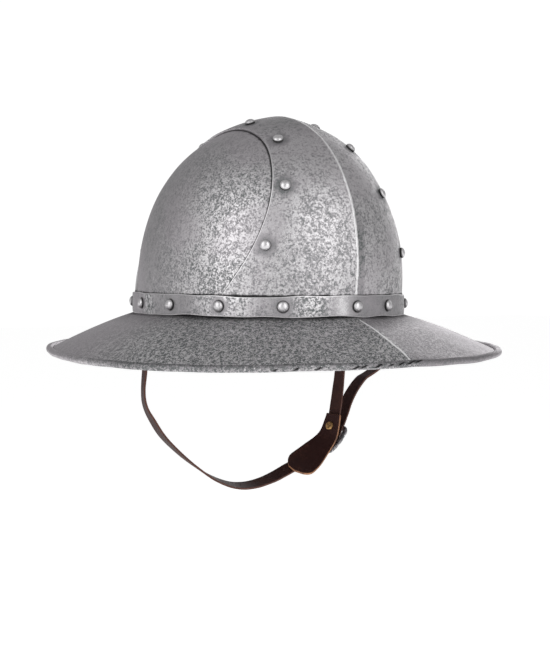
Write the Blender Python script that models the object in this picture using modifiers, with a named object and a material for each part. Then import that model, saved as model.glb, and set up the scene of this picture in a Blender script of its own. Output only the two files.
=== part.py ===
"""Kettle hat: a riveted steel war hat with a wide sloping brim and a leather chin strap.

The skull is made of two side plates under a waisted front-to-back overlay plate with a keel.
A riveted band clamps the plates and the brim's upturned collar together. Metres, +Z up,
the wearer looks along -Y, and the origin is the middle of the head opening at brow height.
"""

import math
from collections import namedtuple

import bmesh
import bpy
import numpy as np
from mathutils import Matrix, Vector

# Skull: the outer face of the side plates
SKULL_HALF_WIDTH = 0.0992
SKULL_HALF_LENGTH = 0.1153
SKULL_HEIGHT = 0.1392
APEX_FORWARD = 0.0076
DOME_FULLNESS = 2.54
DOME_ROUNDNESS = 1.87
SKIRT_DROP = 0.0110

# Sheet metal and the clearances between its layers
PLATE_WALL = 0.0015
BAND_WALL = 0.0013
BRIM_WALL = 0.0015
PLATE_GAP = 0.0005
BAND_GAP = 0.0005
COLLAR_GAP = 0.0011
FIT_GAP = 0.0003
FACET_DEPTH = 0.0011

# Overlay plate: its edge as an angle from the middle plane
WAIST_ANGLE = 21.0
FLARE_ANGLE = 36.5
UNDERLAP_ANGLE = 8.5
SKIRT_FLARE = 450.0
KEEL_HEIGHT = 0.0020
KEEL_HALF_WIDTH = 0.0360
KEEL_FOOT = 0.35
KEEL_FADE_ANGLE = 30.0

# Band round the foot of the skull
BAND_TOP = 0.0036
BAND_BOTTOM = -0.0119
BAND_STEP_START = 66.0
BAND_STEP_END = 76.0

# Brim: collar, cone and rolled rim
COLLAR_TOP = 0.0022
COLLAR_STEP_START = 39.0
COLLAR_STEP_END = 48.5
SHOULDER = 0.0018
SHOULDER_BEND = 0.3
ROOT_DROP = 0.0116
RIM_HALF_WIDTH = 0.1744
RIM_HALF_LENGTH = 0.1796
RIM_FORWARD = 0.0050
RIM_DROP = 0.0432
ROLL_RADIUS = 0.0026
ROLL_START_ANGLE = -110.0
ROLL_END_ANGLE = 172.0
CREASE_HEIGHT = 0.0020
CREASE_HALF_WIDTH = 0.0300
CREASE_FADE = 0.25

# Rivets
RIVET_HEAD_RADIUS = 0.0040
RIVET_HEAD_HEIGHT = 0.0034
RIVET_CROWN_OUT = 0.72
RIVET_CROWN_UP = 0.74
RIVET_SHANK_RADIUS = 0.0016
CLENCH_RADIUS = 0.0026
CLENCH_HEIGHT = 0.0009
BAND_RIVET_DROP = 0.0041
ARCH_RIVET_INSET = 5.6
CUTTER_SPARE = 0.0060

# Chin strap
STRAP_WIDTH = 0.0120
STRAP_WALL = 0.0016
STRAP_ANCHOR_GAP = 0.0007
STRAP_HALF_SPAN = 0.0950
STRAP_DROP = 0.1522
STRAP_PLANE_BACK = 0.0300
STRAP_PLANE_SHARE = 0.4
STRAP_TOP = 0.0016
SHORT_END_RISE = 0.0040
LEG_GAP = 0.00036
TAIL_RUN = 0.0500
TAIL_REACH = 0.0420
PAD_TOP = 0.1055
PAD_LENGTH = 0.0680
PAD_HALF_WIDTH = 0.0160
PAD_WALL = 0.0020
PAD_GAP = 0.0006
PAD_RIVET_PLACE = 0.1165
PAD_RIVET_RADIUS = 0.0037
PAD_RIVET_HEIGHT = 0.0009
PAD_RIVET_FLAT = 0.85
PAD_CLENCH_SHARE = 0.7
PAD_SHANK_RADIUS = 0.0014

# Buckle: places are measured down the strap line from its left anchor
UPPER_BAR_PLACE = 0.1150
BUCKLE_LENGTH = 0.0215
BUCKLE_HALF_WIDTH = 0.0090
BUCKLE_CORNER = 0.0035
BUCKLE_WIRE = 0.00125
BUCKLE_TILT = 0.0075
BUCKLE_BOW = 1.5
PRONG_WIRE = 0.0008
PRONG_OVERHANG = 0.0015
PRONG_START_ANGLE = -35.0
PRONG_TURN_ANGLE = -155.0
PRONG_LEAVE_ANGLE = -275.0
SLOT_START_ANGLE = -18.0
SLOT_CLEARANCE = 0.00045
FOLD_START_ANGLE = -96.0
TAIL_LEAVE_ANGLE = -104.0

# How finely the faceted shapes are divided
ARCH_STEPS = 16
OVERLAY_STEPS = 5
SIDE_STEPS = 5
ROLL_STEPS = 5
RIVET_SIDES = 8
CURVE_STEPS = 12
LOOP_STEPS = 25
SHORT_STEPS = 9
WRAP_STEPS = 3
PAD_STEPS = 3
SOLVE_STEPS = 48
MERGE = 0.00001

# Share of the overlay edge's flare against the share of the way from brow to crown
FlareRow = namedtuple("FlareRow", "rise flare")
FLARE_TABLE = (
    FlareRow(0.00, 1.00),
    FlareRow(0.12, 0.80),
    FlareRow(0.20, 0.64),
    FlareRow(0.30, 0.45),
    FlareRow(0.41, 0.28),
    FlareRow(0.55, 0.14),
    FlareRow(0.72, 0.04),
    FlareRow(1.00, 0.00),
)

# Route of the chin strap from the wearer's right anchor to the left one. Across is a share of the
# half span, down a share of the drop, and roll turns the inner face to the front.
RouteRow = namedtuple("RouteRow", "across down roll")
ROUTE_TABLE = (
    RouteRow(-0.989, 0.170, 18.0),
    RouteRow(-0.992, 0.346, 25.0),
    RouteRow(-1.004, 0.453, 25.0),
    RouteRow(-0.987, 0.531, 14.0),
    RouteRow(-0.922, 0.607, 5.0),
    RouteRow(-0.818, 0.700, 3.0),
    RouteRow(-0.655, 0.797, 5.0),
    RouteRow(-0.499, 0.873, 9.0),
    RouteRow(-0.331, 0.942, 13.0),
    RouteRow(-0.139, 0.990, 16.0),
    RouteRow(0.050, 1.000, 17.0),
    RouteRow(0.255, 0.976, 20.0),
    RouteRow(0.467, 0.927, 26.0),
    RouteRow(0.637, 0.888, 30.0),
    RouteRow(0.768, 0.835, 28.0),
    RouteRow(0.874, 0.775, 24.0),
    RouteRow(0.929, 0.702, 18.0),
    RouteRow(0.960, 0.627, 14.0),
    RouteRow(0.985, 0.531, 12.0),
    RouteRow(1.006, 0.433, 11.0),
    RouteRow(1.013, 0.354, 11.0),
    RouteRow(0.995, 0.170, 11.0),
)

# Free end of the long strap above the buckle: up is a share of its run, out of its reach
TailRow = namedtuple("TailRow", "up out")
TAIL_TABLE = (
    TailRow(0.067, 0.215),
    TailRow(0.21, 0.25),
    TailRow(0.38, 0.307),
    TailRow(0.54, 0.385),
    TailRow(0.70, 0.49),
    TailRow(0.82, 0.60),
    TailRow(0.92, 0.75),
    TailRow(1.00, 1.00),
)

# Outline of the buckle pad: down is a share of its length, widths are shares of its half width
PadRow = namedtuple("PadRow", "down front back")
PAD_TABLE = (
    PadRow(0.00, 0.52, 0.38),
    PadRow(0.10, 0.56, 0.43),
    PadRow(0.25, 0.62, 0.47),
    PadRow(0.42, 0.71, 0.56),
    PadRow(0.58, 0.84, 0.68),
    PadRow(0.74, 1.02, 0.71),
    PadRow(0.86, 1.13, 0.64),
    PadRow(0.94, 0.95, 0.40),
    PadRow(1.00, 0.50, 0.02),
)

# Places of the rivets along each edge of the overlay, in degrees from brow over the crown
ArchRow = namedtuple("ArchRow", "right left")
ARCH_TABLE = (
    ArchRow(20.5, 18.5),
    ArchRow(39.0, 37.5),
    ArchRow(61.0, 57.5),
    ArchRow(84.5, 80.0),
    ArchRow(118.0, 106.0),
    ArchRow(139.5, 134.0),
    ArchRow(161.0, 160.0),
)

# Places of the band's rivets on each side, in degrees from the front
BandRow = namedtuple("BandRow", "right left")
BAND_TABLE = (
    BandRow(31.0, 19.0),
    BandRow(56.0, 52.0),
    BandRow(80.0, 78.0),
    BandRow(103.0, 103.0),
    BandRow(129.0, 129.0),
    BandRow(154.0, 154.0),
)
STRAP_RIVET_ANGLE = BAND_TABLE[3].left

STEEL = ("antiqued_steel", (0.30, 0.31, 0.32, 1.0), 0.42, 1.0)
POLISHED = ("polished_steel", (0.50, 0.51, 0.52, 1.0), 0.30, 1.0)
LEATHER = ("brown_leather", (0.050, 0.026, 0.021, 1.0), 0.62, 0.0)
BRASS = ("brass", (0.42, 0.27, 0.11, 1.0), 0.42, 1.0)


def clear_scene():
    """Remove every object, so that a rerun starts clean."""
    for item in list(bpy.data.objects):
        bpy.data.objects.remove(item, do_unlink=True)


def make_collection(name):
    """Make a collection in the scene."""
    made = bpy.data.collections.new(name)
    bpy.context.scene.collection.children.link(made)
    return made


def make_material(spec):
    """A Principled material from its name, colour, roughness and metallic value."""
    name, colour, roughness, metallic = spec
    made = bpy.data.materials.get(name) or bpy.data.materials.new(name)
    made.use_nodes = True
    shader = made.node_tree.nodes["Principled BSDF"]
    shader.inputs["Base Color"].default_value = colour
    shader.inputs["Roughness"].default_value = roughness
    shader.inputs["Metallic"].default_value = metallic
    return made


def add_object(name, data, collection, spec):
    """Put mesh or curve data in the collection as a named object with its material."""
    item = bpy.data.objects.new(name, data)
    collection.objects.link(item)
    item.data.materials.append(make_material(spec))
    return item


def smooth_step(value, start, end):
    """A smooth rise from 0 at start to 1 at end."""
    share = min(max((value - start) / (end - start), 0.0), 1.0)
    return share * share * (3.0 - 2.0 * share)


def smooth_path(points, steps):
    """Points along a Catmull-Rom curve through the given rows of numbers."""
    rows = [np.array(point, float) for point in points]
    rows = [2.0 * rows[0] - rows[1]] + rows + [2.0 * rows[-1] - rows[-2]]
    path = []
    for before, start, end, after in zip(rows, rows[1:], rows[2:], rows[3:]):
        for step in range(steps):
            t = step / steps
            bend = 2.0 * before - 5.0 * start + 4.0 * end - after
            twist = 3.0 * start - before - 3.0 * end + after
            path.append(0.5 * (2.0 * start + (end - before) * t + bend * t ** 2 + twist * t ** 3))
    path.append(rows[-2])
    return path


def dome_share(height):
    """The skull's radius as a share of its radius at the brow, at a share of its height."""
    return (1.0 - min(max(height, 0.0), 1.0) ** DOME_FULLNESS) ** (1.0 / DOME_ROUNDNESS)


def skull_point(rise, side, drop=0.0):
    """A point on the skull: rise in degrees from brow over the crown, side from the middle plane."""
    psi = math.radians(rise)
    lam = math.radians(side)
    across = math.sin(lam)
    along = -math.cos(lam) * math.cos(psi)
    up = math.cos(lam) * math.sin(psi)
    low = 0.0
    high = 2.0
    for _ in range(SOLVE_STEPS):
        reach = 0.5 * (low + high)
        if reach * math.hypot(across, along) < dome_share(reach * up) and reach * up < 1.0:
            low = reach
        else:
            high = reach
    lift = low * up
    return Vector((
        SKULL_HALF_WIDTH * low * across,
        SKULL_HALF_LENGTH * low * along - APEX_FORWARD * lift,
        SKULL_HEIGHT * lift - drop,
    ))


def skull_normal(point):
    """The outward direction of the skull's surface at a point on it."""
    height = min(max(point.z / SKULL_HEIGHT, 0.0), 1.0 - 1e-6)
    along = point.y + APEX_FORWARD * height
    radius = max(math.hypot(point.x / SKULL_HALF_WIDTH, along / SKULL_HALF_LENGTH), 1e-9)
    slope = DOME_FULLNESS / DOME_ROUNDNESS * height ** (DOME_FULLNESS - 1.0)
    slope *= (1.0 - height ** DOME_FULLNESS) ** (1.0 / DOME_ROUNDNESS - 1.0)
    lean = along / SKULL_HALF_LENGTH ** 2 / radius
    return Vector((
        point.x / SKULL_HALF_WIDTH ** 2 / radius,
        lean,
        (lean * APEX_FORWARD + slope) / SKULL_HEIGHT,
    )).normalized()


def edge_angle(rise, drop=0.0):
    """Angle of the overlay's edge from the middle plane."""
    share = min(rise, 180.0 - rise) / 90.0
    path = smooth_path([(row.rise, row.flare) for row in FLARE_TABLE], CURVE_STEPS)
    flare = np.interp(share, [row[0] for row in path], [row[1] for row in path])
    return WAIST_ANGLE + FLARE_ANGLE * float(flare) + SKIRT_FLARE * drop


def keel_lift(x, rise):
    """How far the overlay is drawn up into its keel."""
    share = max(0.0, 1.0 - abs(x) / KEEL_HALF_WIDTH)
    near_end = min(rise, 180.0 - rise)
    strength = KEEL_FOOT + (1.0 - KEEL_FOOT) * smooth_step(near_end, 0.0, KEEL_FADE_ANGLE)
    return KEEL_HEIGHT * strength * share * share


def overlay_face(rise, side, drop=0.0):
    """A point on the overlay's outer face, with its outward direction."""
    point = skull_point(rise, side, drop)
    normal = skull_normal(point)
    return point + normal * (PLATE_GAP + PLATE_WALL + keel_lift(point.x, rise)), normal


def arch_rows():
    """Rise and drop of each row of the plates, from the front skirt to the back one."""
    rows = [(0.0, SKIRT_DROP)]
    rows += [(180.0 * step / ARCH_STEPS, 0.0) for step in range(ARCH_STEPS + 1)]
    rows += [(180.0, SKIRT_DROP)]
    return rows


def overlay_sides(rise, drop):
    """Angles of the overlay's columns, with two that match those of the side plates under it."""
    edge = edge_angle(rise, drop)
    inner = edge - UNDERLAP_ANGLE
    middle = [inner * step / OVERLAY_STEPS for step in range(OVERLAY_STEPS + 1)]
    half = middle + [edge - 0.5 * UNDERLAP_ANGLE, edge]
    return [-side for side in reversed(half[1:])] + half


def plate_sides(rise, drop):
    """Angles of a side plate's columns, from under the overlay to the side of the head."""
    edge = edge_angle(rise, drop)
    sides = [edge - UNDERLAP_ANGLE, edge - 0.5 * UNDERLAP_ANGLE]
    return sides + [edge + (90.0 - edge) * step / SIDE_STEPS for step in range(SIDE_STEPS + 1)]


def foot_angles():
    """Angles round the foot of the skull, at the columns of the plates."""
    edge = edge_angle(0.0)
    quarter = [side for side in overlay_sides(0.0, 0.0) if side >= 0.0]
    quarter += [side for side in plate_sides(0.0, 0.0) if side > edge]
    half = quarter + [180.0 - side for side in reversed(quarter[:-1])]
    return half + [360.0 - side for side in reversed(half[:-1])]


def foot_point(angle, out, z):
    """A point outside the foot of the skull, at an angle from the front, with its direction."""
    turn = math.radians(angle)
    point = Vector((SKULL_HALF_WIDTH * math.sin(turn), -SKULL_HALF_LENGTH * math.cos(turn), 0.0))
    normal = Vector((point.x / SKULL_HALF_WIDTH ** 2, point.y / SKULL_HALF_LENGTH ** 2, 0.0))
    normal.normalize()
    return point + normal * out + Vector((0.0, 0.0, z)), normal


def quarter_angle(angle):
    """The same angle measured from the front or the back, whichever is nearer."""
    turn = angle % 180.0
    return min(turn, 180.0 - turn)


def band_rise(angle):
    """Distance of the band's outer face from the skull's foot."""
    over = 1.0 - smooth_step(quarter_angle(angle), BAND_STEP_START, BAND_STEP_END)
    keel = keel_lift(foot_point(angle, 0.0, 0.0)[0].x, 0.0)
    return BAND_GAP + BAND_WALL + (PLATE_GAP + PLATE_WALL) * over + keel


def collar_inset(angle):
    """Distance of the collar's middle surface inside the skull's foot."""
    under = smooth_step(quarter_angle(angle), COLLAR_STEP_START, COLLAR_STEP_END)
    return COLLAR_GAP + 0.5 * BRIM_WALL - PLATE_GAP + (PLATE_WALL + PLATE_GAP) * under


def sheet(name, grid, wall, offset, collection, spec):
    """A formed sheet: a grid laid on rows of points, thickened by a wall."""
    mesh = bpy.data.meshes.new(name)
    bm = bmesh.new()
    bmesh.ops.create_grid(bm, x_segments=len(grid) - 1, y_segments=len(grid[0]) - 1, size=1.0)
    for vertex in bm.verts:
        row = round((vertex.co.x + 1.0) * 0.5 * (len(grid) - 1))
        column = round((vertex.co.y + 1.0) * 0.5 * (len(grid[0]) - 1))
        vertex.co = grid[row][column]
    bmesh.ops.remove_doubles(bm, verts=bm.verts, dist=MERGE)
    bm.normal_update()
    outward = sum(face.normal.dot(face.calc_center_median()) * face.calc_area() for face in bm.faces)
    if outward < 0.0:
        bmesh.ops.reverse_faces(bm, faces=bm.faces)
    bm.to_mesh(mesh)
    bm.free()
    mesh.shade_smooth()
    item = add_object(name, mesh, collection, spec)
    shell = item.modifiers.new("wall", "SOLIDIFY")
    shell.thickness = wall
    shell.offset = offset
    shell.use_even_offset = True
    return item


def make_overlay(collection):
    """The waisted front-to-back plate with its keel."""
    grid = []
    for rise, drop in arch_rows():
        grid.append([overlay_face(rise, side, drop)[0] for side in overlay_sides(rise, drop)])
    return sheet("overlay_plate", grid, PLATE_WALL, -1.0, collection, STEEL)


def make_side_plate(name, hand, collection):
    """One half of the skull, on the side that hand gives."""
    grid = []
    for rise, drop in arch_rows():
        sides = sorted(hand * side for side in plate_sides(rise, drop))
        grid.append([skull_point(rise, side, drop) for side in sides])
    return sheet(name, grid, PLATE_WALL, -1.0, collection, STEEL)


def make_band(collection):
    """The riveted band round the foot of the skull."""
    grid = []
    for angle in foot_angles():
        out = band_rise(angle)
        grid.append([foot_point(angle, out, z)[0] for z in (BAND_BOTTOM, BAND_TOP)])
    return sheet("band", grid, BAND_WALL, -1.0, collection, STEEL)


def rim_point(angle, out, z):
    """A point outside the rim's ellipse, at an angle from the front."""
    turn = math.radians(angle)
    point = Vector((RIM_HALF_WIDTH * math.sin(turn), -RIM_HALF_LENGTH * math.cos(turn), 0.0))
    normal = Vector((point.x / RIM_HALF_WIDTH ** 2, point.y / RIM_HALF_LENGTH ** 2, 0.0)).normalized()
    return point + normal * out + Vector((0.0, -RIM_FORWARD, z))


def crease_lift(point, share):
    """How far the brim is drawn up along the middle plane."""
    near = max(0.0, 1.0 - abs(point.x) / CREASE_HALF_WIDTH)
    return CREASE_HEIGHT * near * near * smooth_step(share, 0.0, CREASE_FADE)


def brim_section(angle):
    """The brim's middle surface at one angle: collar, shoulder, cone and rolled rim."""
    inset = collar_inset(angle)
    root = -ROOT_DROP - 0.5 * BRIM_WALL
    start = foot_point(angle, SHOULDER - inset, root)[0]
    roll = ROLL_RADIUS - 0.5 * BRIM_WALL
    bend = SHOULDER_BEND * SHOULDER
    section = [
        foot_point(angle, -inset, COLLAR_TOP)[0],
        foot_point(angle, -inset, root + SHOULDER)[0],
        foot_point(angle, bend - inset, root + bend)[0],
        start,
    ]
    turns = [ROLL_START_ANGLE + (ROLL_END_ANGLE - ROLL_START_ANGLE) * step / ROLL_STEPS
             for step in range(ROLL_STEPS + 1)]
    hoop = []
    for turn in turns:
        out = roll * math.cos(math.radians(turn)) - ROLL_RADIUS
        rise = roll * math.sin(math.radians(turn)) - RIM_DROP + ROLL_RADIUS
        hoop.append(rim_point(angle, out, rise))
    middle = start.lerp(hoop[0], 0.5)
    middle.z += crease_lift(middle, 0.5)
    for place in hoop:
        place.z += crease_lift(place, 1.0)
    return section + [middle] + hoop


def make_brim(collection):
    """The brim with its upturned collar and rolled rim."""
    grid = [brim_section(angle) for angle in foot_angles()]
    return sheet("brim", grid, BRIM_WALL, 0.0, collection, STEEL)


def turned(name, profile, sides, collection, spec):
    """A round solid from a profile of radius and height, listed from top to bottom."""
    mesh = bpy.data.meshes.new(name)
    bm = bmesh.new()
    corners = [bm.verts.new((radius, 0.0, height)) for radius, height in profile]
    for start, end in zip(corners, corners[1:]):
        bm.edges.new((start, end))
    bm.to_mesh(mesh)
    bm.free()
    item = add_object(name, mesh, collection, spec)
    screw = item.modifiers.new("turn", "SCREW")
    screw.steps = sides
    screw.render_steps = sides
    screw.use_merge_vertices = True
    screw.merge_threshold = MERGE
    return item


def frame_at(point, direction):
    """A matrix whose Z axis points along a direction."""
    turn = direction.to_track_quat("Z", "Y")
    return Matrix.Translation(point) @ turn.to_matrix().to_4x4()


def make_rivet(name, place, depth, collection):
    """A dome-headed rivet whose shank runs in through the sheets to its clenched end."""
    profile = (
        (0.0, RIVET_HEAD_HEIGHT),
        (RIVET_CROWN_OUT * RIVET_HEAD_RADIUS, RIVET_CROWN_UP * RIVET_HEAD_HEIGHT),
        (RIVET_HEAD_RADIUS, 0.0),
        (RIVET_SHANK_RADIUS, 0.0),
        (RIVET_SHANK_RADIUS, -depth),
        (CLENCH_RADIUS, -depth),
        (0.0, -depth - CLENCH_HEIGHT),
    )
    rivet = turned(name, profile, RIVET_SIDES, collection, POLISHED)
    rivet.matrix_world = place
    return rivet


def hole_cutter(name, places, radius, collection):
    """One cutter with a round pin at each place, long enough to pass through the sheets."""
    mesh = bpy.data.meshes.new(name)
    bm = bmesh.new()
    for place, depth in places:
        length = depth + CUTTER_SPARE
        shift = Matrix.Translation((0.0, 0.0, -0.5 * depth))
        bmesh.ops.create_cone(
            bm, cap_ends=True, segments=RIVET_SIDES, radius1=radius, radius2=radius,
            depth=length, matrix=place @ shift)
    bm.to_mesh(mesh)
    bm.free()
    item = add_object(name, mesh, collection, STEEL)
    item.display_type = "WIRE"
    item.hide_render = True
    return item


def cut(item, cutter, name):
    """Subtract a cutter from an object."""
    boolean = item.modifiers.new(name, "BOOLEAN")
    boolean.operation = "DIFFERENCE"
    boolean.solver = "EXACT"
    boolean.object = cutter


def arch_rivet_places():
    """Name, matrix and depth of each rivet along the overlay's edges."""
    places = []
    depth = FIT_GAP + PLATE_WALL + PLATE_GAP + PLATE_WALL + FIT_GAP + FACET_DEPTH
    for label, hand in (("right", -1.0), ("left", 1.0)):
        for number, row in enumerate(ARCH_TABLE, 1):
            rise = getattr(row, label)
            side = edge_angle(rise) - ARCH_RIVET_INSET
            point, normal = overlay_face(rise, hand * side)
            place = frame_at(point + normal * FIT_GAP, normal)
            places.append((f"arch_rivet_{label}_{number}", place, depth + keel_lift(point.x, rise)))
    return places


def band_rivet_places():
    """Name, matrix and depth of each rivet of the band. Two of them also hold the strap."""
    turns = [("front", 0.0), ("back", 180.0)]
    turns += [(f"right_{number}", -row.right) for number, row in enumerate(BAND_TABLE, 1)]
    turns += [(f"left_{number}", row.left) for number, row in enumerate(BAND_TABLE, 1)]
    places = []
    for label, angle in turns:
        out = band_rise(angle)
        point, normal = foot_point(angle, out + FIT_GAP, -BAND_RIVET_DROP)
        depth = FIT_GAP + out + collar_inset(angle) + 0.5 * BRIM_WALL + FIT_GAP + FACET_DEPTH
        if abs(angle) == STRAP_RIVET_ANGLE:
            depth += STRAP_ANCHOR_GAP + STRAP_WALL
        places.append((f"band_rivet_{label}", frame_at(point, normal), depth))
    return places


def strap_line():
    """The strap's line between its anchors, as length, place, inward and width directions."""
    inset = collar_inset(STRAP_RIVET_ANGLE) + 0.5 * BRIM_WALL + STRAP_ANCHOR_GAP + 0.5 * STRAP_WALL
    anchor, wall = foot_point(STRAP_RIVET_ANGLE, -inset, 0.0)
    lean = math.degrees(math.atan2(wall.y, wall.x))
    root = ROOT_DROP + BRIM_WALL + FIT_GAP
    ends = []
    for z in (STRAP_TOP, -BAND_RIVET_DROP, -root):
        ends.append((anchor.x, anchor.y, z, lean))
    rows = [(-x, y, z, roll) for x, y, z, roll in ends]
    for row in ROUTE_TABLE:
        x = row.across * STRAP_HALF_SPAN
        z = -BAND_RIVET_DROP - row.down * STRAP_DROP
        y = anchor.y + (STRAP_PLANE_BACK - anchor.y) * smooth_step(row.down, 0.0, STRAP_PLANE_SHARE)
        rows.append((x, y, z, row.roll))
    rows += reversed(ends)
    path = np.array(smooth_path(rows, CURVE_STEPS))
    places = path[:, :3]
    slope = np.gradient(places, axis=0)
    slope /= np.linalg.norm(slope, axis=1)[:, None]
    inward = np.stack([-slope[:, 2], 0.0 * slope[:, 0], slope[:, 0]], axis=1)
    inward /= np.linalg.norm(inward, axis=1)[:, None]
    front = np.array([0.0, -1.0, 0.0])
    roll = np.radians(path[:, 3])[:, None]
    turned_in = inward * np.cos(roll) + front * np.sin(roll)
    width = front * np.cos(roll) - inward * np.sin(roll)
    length = np.concatenate([[0.0], np.cumsum(np.linalg.norm(np.diff(places, axis=0), axis=1))])
    return length, places, turned_in, width


class StrapSpace:
    """Turns a place along, across and out from the strap's line into a point in space."""

    def __init__(self):
        self.length, self.places, self.inward, self.width = strap_line()
        self.total = float(self.length[-1])

    def row(self, values, below):
        """One row of values, read at a length below the left anchor."""
        along = self.total - below
        return Vector([float(np.interp(along, self.length, values[:, k])) for k in range(3)])

    def point(self, below, across, out):
        """A point at a length below the left anchor, across to the front, and out from the head."""
        width = self.row(self.width, below)
        inward = self.row(self.inward, below)
        return self.row(self.places, below) + width * across - inward * out


def bar_out(below):
    """How far out from the strap's line the buckle's frame lies."""
    share = max(0.0, (lower_place() - below) / BUCKLE_LENGTH)
    return 0.5 * STRAP_WALL + FIT_GAP + BUCKLE_WIRE + BUCKLE_TILT * share ** BUCKLE_BOW


def lower_place():
    """Place of the buckle's lower bar."""
    return UPPER_BAR_PLACE + BUCKLE_LENGTH


def centre_place():
    """Place of the buckle's centre bar."""
    return UPPER_BAR_PLACE + 0.5 * BUCKLE_LENGTH


def wrap(below, radius, start, end):
    """Places round one of the buckle's bars, between two angles from the downward direction."""
    track = []
    for step in range(WRAP_STEPS + 1):
        angle = math.radians(start + (end - start) * step / WRAP_STEPS)
        track.append((below + radius * math.cos(angle), bar_out(below) + radius * math.sin(angle)))
    return track


def crossing_angle(start, start_radius, end, end_radius):
    """Angle at which a strap leaves the inner side of one bar for the outer side of the next."""
    along = start - end
    rise = bar_out(end) - bar_out(start)
    spread = math.asin((start_radius + end_radius) / math.hypot(along, rise))
    return math.degrees(math.atan2(rise, along) + spread)


def short_strap_track():
    """Places down the short strap, round the centre bar and back up to the end of its fold."""
    centre = centre_place()
    fold = BUCKLE_WIRE + FIT_GAP + 0.5 * STRAP_WALL
    apart = STRAP_WALL + LEG_GAP
    join = PAD_RIVET_PLACE + CLENCH_RADIUS
    track = [(below, 0.0) for below in np.linspace(0.0, PAD_TOP, SHORT_STEPS)] + [(join, 0.0)]
    fall = math.degrees(math.atan2(bar_out(centre) + fold - apart, centre - join))
    track += wrap(centre, fold, FOLD_START_ANGLE, 0.0) + wrap(centre, fold, 0.0, 90.0 + fall)[1:]
    return track + [(join, apart), (PAD_RIVET_PLACE - SHORT_END_RISE, apart)]


def long_strap_track(total):
    """Places along the long strap: the loop, over the centre bar, under the upper bar, the tail."""
    centre = centre_place()
    lower = lower_place()
    under = BUCKLE_WIRE + FIT_GAP + 0.5 * STRAP_WALL
    over = under + STRAP_WALL + FIT_GAP
    rise = crossing_angle(lower, under, centre, over)
    fall = crossing_angle(centre, over, UPPER_BAR_PLACE, under)
    climb = bar_out(UPPER_BAR_PLACE) - bar_out(centre)
    drop = 2.0 * math.degrees(math.atan2(climb, centre - UPPER_BAR_PLACE))
    track = [(below, 0.0) for below in np.linspace(total, lower + under, LOOP_STEPS)]
    track += wrap(lower, under, -90.0, -90.0 - rise)
    track += wrap(centre, over, 90.0 - rise, 90.0 + fall - drop)
    track += wrap(UPPER_BAR_PLACE, under, -90.0 + fall - drop, TAIL_LEAVE_ANGLE)
    tail = [(UPPER_BAR_PLACE - row.up * TAIL_RUN, row.out * TAIL_REACH) for row in TAIL_TABLE]
    path = smooth_path([track[-1]] + tail, WRAP_STEPS)
    return track[:-1] + [tuple(row) for row in path]


def ribbon(name, space, track, half_width, collection):
    """A strap of leather laid along a track."""
    grid = [[space.point(below, across, out) for across in (-half_width, half_width)]
            for below, out in track]
    return sheet(name, grid, STRAP_WALL, 0.0, collection, LEATHER)


def make_pad(space, collection):
    """The shaped leather pad between the buckle and the cheek."""
    out = -0.5 * STRAP_WALL - PAD_GAP - 0.5 * PAD_WALL
    grid = []
    for row in smooth_path(PAD_TABLE, 2):
        below = PAD_TOP + row[0] * PAD_LENGTH
        front = row[1] * PAD_HALF_WIDTH
        back = row[2] * PAD_HALF_WIDTH
        line = []
        for step in range(PAD_STEPS + 1):
            line.append(space.point(below, front - (front + back) * step / PAD_STEPS, out))
        grid.append(line)
    return sheet("buckle_pad", grid, PAD_WALL, 0.0, collection, LEATHER)


def wire(name, points, radius, closed, collection, spec):
    """A bent wire through the points, as a mesh with welded caps."""
    curve = bpy.data.curves.new(name, "CURVE")
    curve.dimensions = "3D"
    curve.bevel_depth = radius
    curve.bevel_resolution = 2
    curve.use_fill_caps = True
    spline = curve.splines.new("POLY")
    spline.points.add(len(points) - 1)
    spline.use_cyclic_u = closed
    for slot, point in zip(spline.points, points):
        slot.co = (*point, 1.0)
    drawn = bpy.data.objects.new(name + "_curve", curve)
    collection.objects.link(drawn)
    ready = drawn.evaluated_get(bpy.context.evaluated_depsgraph_get())
    mesh = bpy.data.meshes.new_from_object(ready)
    bpy.data.objects.remove(drawn, do_unlink=True)
    mesh.name = name
    bm = bmesh.new()
    bm.from_mesh(mesh)
    bmesh.ops.remove_doubles(bm, verts=bm.verts, dist=MERGE)
    bm.to_mesh(mesh)
    bm.free()
    return add_object(name, mesh, collection, spec)


def make_frame(space, collection, cutters):
    """The buckle's frame, with its centre bar joined to the side rails."""
    points = []
    corners = ((1.0, 1.0, 0.0), (-1.0, 1.0, 90.0), (-1.0, -1.0, 180.0), (1.0, -1.0, 270.0))
    for side, end, first in corners:
        for turn in (0.0, 30.0, 60.0, 90.0):
            angle = math.radians(first + turn)
            across = side * (BUCKLE_HALF_WIDTH - BUCKLE_CORNER) + BUCKLE_CORNER * math.cos(angle)
            along = end * (0.5 * BUCKLE_LENGTH - BUCKLE_CORNER) + BUCKLE_CORNER * math.sin(angle)
            below = centre_place() + along
            points.append(space.point(below, across, bar_out(below)))
    frame = wire("buckle_frame", points, BUCKLE_WIRE, True, collection, POLISHED)
    centre = centre_place()
    ends = [space.point(centre, side * BUCKLE_HALF_WIDTH, bar_out(centre)) for side in (-1.0, 1.0)]
    bar = wire("buckle_bar", ends, BUCKLE_WIRE, False, cutters, POLISHED)
    bar.display_type = "WIRE"
    bar.hide_render = True
    join = frame.modifiers.new("centre_bar", "BOOLEAN")
    join.operation = "UNION"
    join.solver = "EXACT"
    join.object = bar
    return frame


def prong_points(space, start):
    """The prong's line: hooked round the centre bar from an angle, then out over the lower bar."""
    centre = centre_place()
    radius = BUCKLE_WIRE + FIT_GAP + PRONG_WIRE
    rest = bar_out(lower_place()) + radius
    hook = wrap(centre, radius, start, PRONG_TURN_ANGLE)
    hook += wrap(centre, radius, PRONG_TURN_ANGLE, PRONG_LEAVE_ANGLE)[1:]
    reach = [(lower_place(), rest), (lower_place() + PRONG_OVERHANG, rest)]
    return [space.point(below, 0.0, out) for below, out in hook + reach]


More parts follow.
